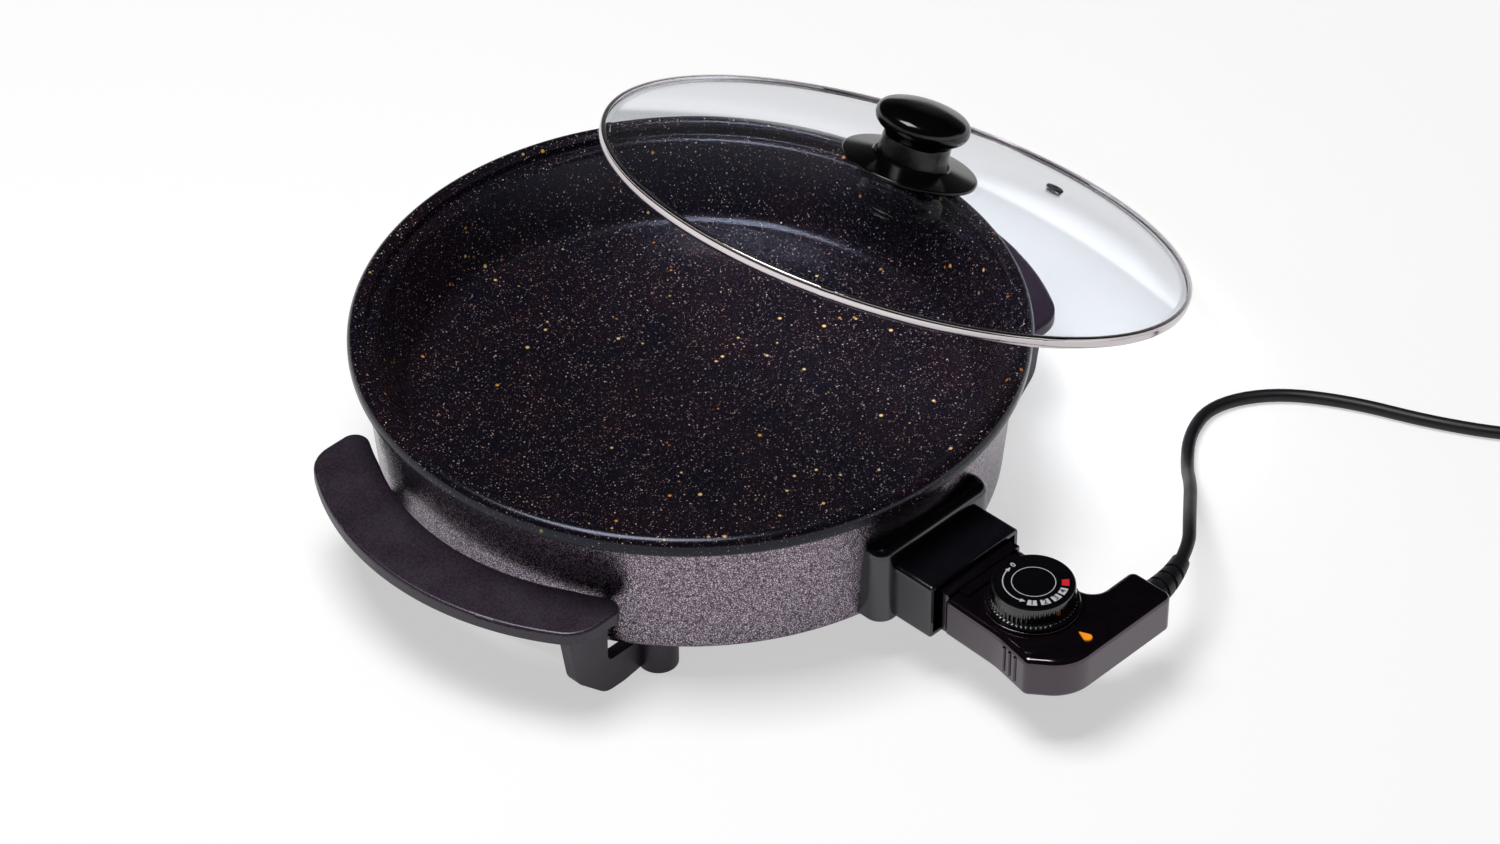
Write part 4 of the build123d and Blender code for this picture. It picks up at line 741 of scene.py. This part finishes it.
def onDisc(angle, radius, lift):
    # places a glyph with its top towards the middle of the disc
    turn = Matrix.Rotation(math.radians(angle + 90), 4, "Z")
    return Matrix.Translation(onCircle(radius, angle, lift)) @ turn


def joinMeshes(name, parts):
    # parts are (mesh, matrix) pairs
    joined = bmesh.new()
    for mesh, matrix in parts:
        before = len(joined.verts)
        joined.from_mesh(mesh)
        joined.verts.ensure_lookup_table()
        bmesh.ops.transform(joined, matrix=matrix, verts=joined.verts[before:])
    made = bpy.data.meshes.new(name)
    joined.to_mesh(made)
    joined.free()
    return made


def makeScale():
    c = scale
    flat = Matrix.Translation((0, 0, c["lift"]))

    def block(angle):
        half = c["blockTurn"] / 2
        return bandMesh("block", c["blockInner"], c["blockOuter"], angle - half, angle + half, c["bandSteps"]), flat

    white = [(bandMesh("ring", c["ringRadius"], c["ringRadius"] + c["ringWidth"], 0, 360, c["ringSteps"]), flat)]
    white += [block(angle) for angle in c["blocks"].values()]
    inner, outer = c["arrowRadius"] - c["arrowWidth"] / 2, c["arrowRadius"] + c["arrowWidth"] / 2
    white.append((bandMesh("arrow", inner, outer, c["arrowFrom"], c["arrowTo"], c["bandSteps"]), flat))
    white.append((arrowHead(c["arrowFrom"], -1), flat))
    white.append((arrowHead(c["arrowTo"], 1), flat))
    white.append((glyphMesh("0", c["zeroHeight"]), onDisc(c["zeroAngle"], c["zeroRadius"], c["lift"])))
    middle = (c["blockInner"] + c["blockOuter"]) / 2
    dark = [(glyphMesh(digit, c["digitHeight"]), onDisc(angle, middle, 2 * c["lift"]))
            for digit, angle in c["blocks"].items()]
    red = [block(c["redBlock"])]
    prints = (("scaleWhite", white, "printWhite"), ("scaleDigits", dark, "printBlack"), ("scaleRed", red, "printRed"))
    for name, parts, finish in prints:
        makePiece(name, joinMeshes(name, parts), finish, "dial", (*dial["axis"], dial["top"]))


makeDial()
makeScale()
print("dial made")

# Studio: a pale floor that turns white away from the object, a white world and one soft lamp
studio = {
    "floorLevel": -0.0255,
    "floorSize": 30.0,
    "floorColour": grey(0.56),
    "floorRoughness": 0.9,
    "floorSpecular": 0.1,
    "floorLift": 0.53,  # light that the floor adds where it is seen
    "mirrorDrop": 0.2,  # and how much less of it reflections see
    "whiteFrom": 0.45,
    "whiteBy": 1.3,
    "farSide": (0.70, 0.71, 0.0),
    "farDimming": 0.96,
    "farFloorFrom": 1.6,
    "farFloorBy": 3.2,
    "farWorldBy": 0.5,
    "worldFill": 0.1,
    "worldAbove": 0.012,
    "horizonLow": 0.04,
    "horizonHigh": 0.26,
}


def lookingRays(owner):
    # camera rays, mirrored rays and rays straight through the glass; what was mirrored inside the glass is mirrored
    rays = addNode(owner, "ShaderNodeLightPath").outputs
    echoed = mathNode(owner, "GREATER_THAN", rays["Glossy Depth"], 0.5)
    echo = mathNode(owner, "MULTIPLY", rays["Is Transmission Ray"], echoed)
    mirrored = mathNode(owner, "MAXIMUM", rays["Is Glossy Ray"], echo)
    through = mathNode(owner, "SUBTRACT", rays["Is Transmission Ray"], echo)
    return rays["Is Camera Ray"], mirrored, through


def emission(material, strength, colour=grey(1.0)):
    return addNode(material, "ShaderNodeEmission", Color=colour, Strength=strength).outputs[0]


def mixShaders(material, factor, under, over):
    return addNode(material, "ShaderNodeMixShader", i0=factor, i1=under, i2=over).outputs[0]


def floorMaterial():
    s = studio
    made = newMaterial("studioFloor", s["floorColour"], s["floorRoughness"], Specular_IOR_Level=s["floorSpecular"])
    tree = made.node_tree
    cameraRay, mirrored, through = lookingRays(made)
    seen = mathNode(made, "MAXIMUM", mathNode(made, "MAXIMUM", cameraRay, mirrored), through)
    coords = surfaceCoords(made)
    radial = addNode(made, "ShaderNodeVectorMath", {"operation": "LENGTH"}, i0=coords).outputs["Value"]
    away = smoothStep(made, radial, s["whiteFrom"], s["whiteBy"])
    strength = mathNode(made, "MULTIPLY_ADD", mirrored, -s["mirrorDrop"], s["floorLift"])
    lift = emission(made, mathNode(made, "MULTIPLY", seen, strength))
    lit = addNode(made, "ShaderNodeAddShader", i0=tree.nodes["Principled BSDF"].outputs[0], i1=lift).outputs[0]
    pale = mixShaders(made, mathNode(made, "MULTIPLY", away, seen), lit, emission(made, 1.0))
    # mirror-like pieces see a dim room beyond the object, which keeps the lid's glass clear
    beyond = alongDirection(made, coords, s["farSide"])
    dim = smoothStep(made, beyond, s["farFloorFrom"], s["farFloorBy"], after=s["farDimming"])
    dark = emission(made, 0.0, grey(0.0))
    room = mixShaders(made, mathNode(made, "MULTIPLY", dim, mirrored), pale, dark)
    tree.links.new(room, tree.nodes["Material Output"].inputs["Surface"])
    return made


def makeFloor():
    mesh = bpy.data.meshes.new("floor")
    half = studio["floorSize"]
    corners = [(-half, -half), (half, -half), (half, half), (-half, half)]
    mesh.from_pydata([(x, y, studio["floorLevel"]) for x, y in corners], [], [(0, 1, 2, 3)])
    made = bpy.data.objects.new("floor", mesh)
    scene.collection.objects.link(made)
    mesh.materials.append(floorMaterial())


def makeWorld():
    s = studio
    world = bpy.data.worlds.new("studioWorld")
    scene.world = world
    world.use_nodes = True
    cameraRay, mirrored, through = lookingRays(world)
    outward = addNode(world, "ShaderNodeTexCoord").outputs["Generated"]
    level = addNode(world, "ShaderNodeSeparateXYZ", i0=outward).outputs["Z"]

    def pick(ray, under, over):
        return addNode(world, "ShaderNodeMix", i0=ray, i2=under, i3=over).outputs[0]

    # reflections see white near the horizon, a darker room above and a dim one on the far side
    height = smoothStep(world, level, s["horizonLow"], s["horizonHigh"], 1.0, s["worldAbove"])
    side = smoothStep(world, alongDirection(world, outward, s["farSide"]), 0.0, s["farWorldBy"],
                      1.0, 1.0 - s["farDimming"])
    strength = pick(mirrored, s["worldFill"], mathNode(world, "MULTIPLY", height, side))
    strength = pick(through, strength, 1.0)
    strength = pick(cameraRay, strength, 1.0)
    background = world.node_tree.nodes["Background"]
    background.inputs["Color"].default_value = grey(1.0)
    world.node_tree.links.new(strength, background.inputs["Strength"])


lamp = {
    "place": (-0.4, 0.25, 2.5),
    "aim": (0, 0, 0.05),
    "width": 1.2,
    "depth": 1.2,
    "watts": 52,
}


def makeLamp():
    data = bpy.data.lights.new("topBox", "AREA")
    data.shape = "RECTANGLE"
    data.size = lamp["width"]
    data.size_y = lamp["depth"]
    data.energy = lamp["watts"]
    made = bpy.data.objects.new("topBox", data)
    scene.collection.objects.link(made)
    made.location = lamp["place"]
    made.rotation_euler = turnedTowards(lamp["place"], lamp["aim"])


makeFloor()
makeWorld()
makeLamp()
print("studio built")
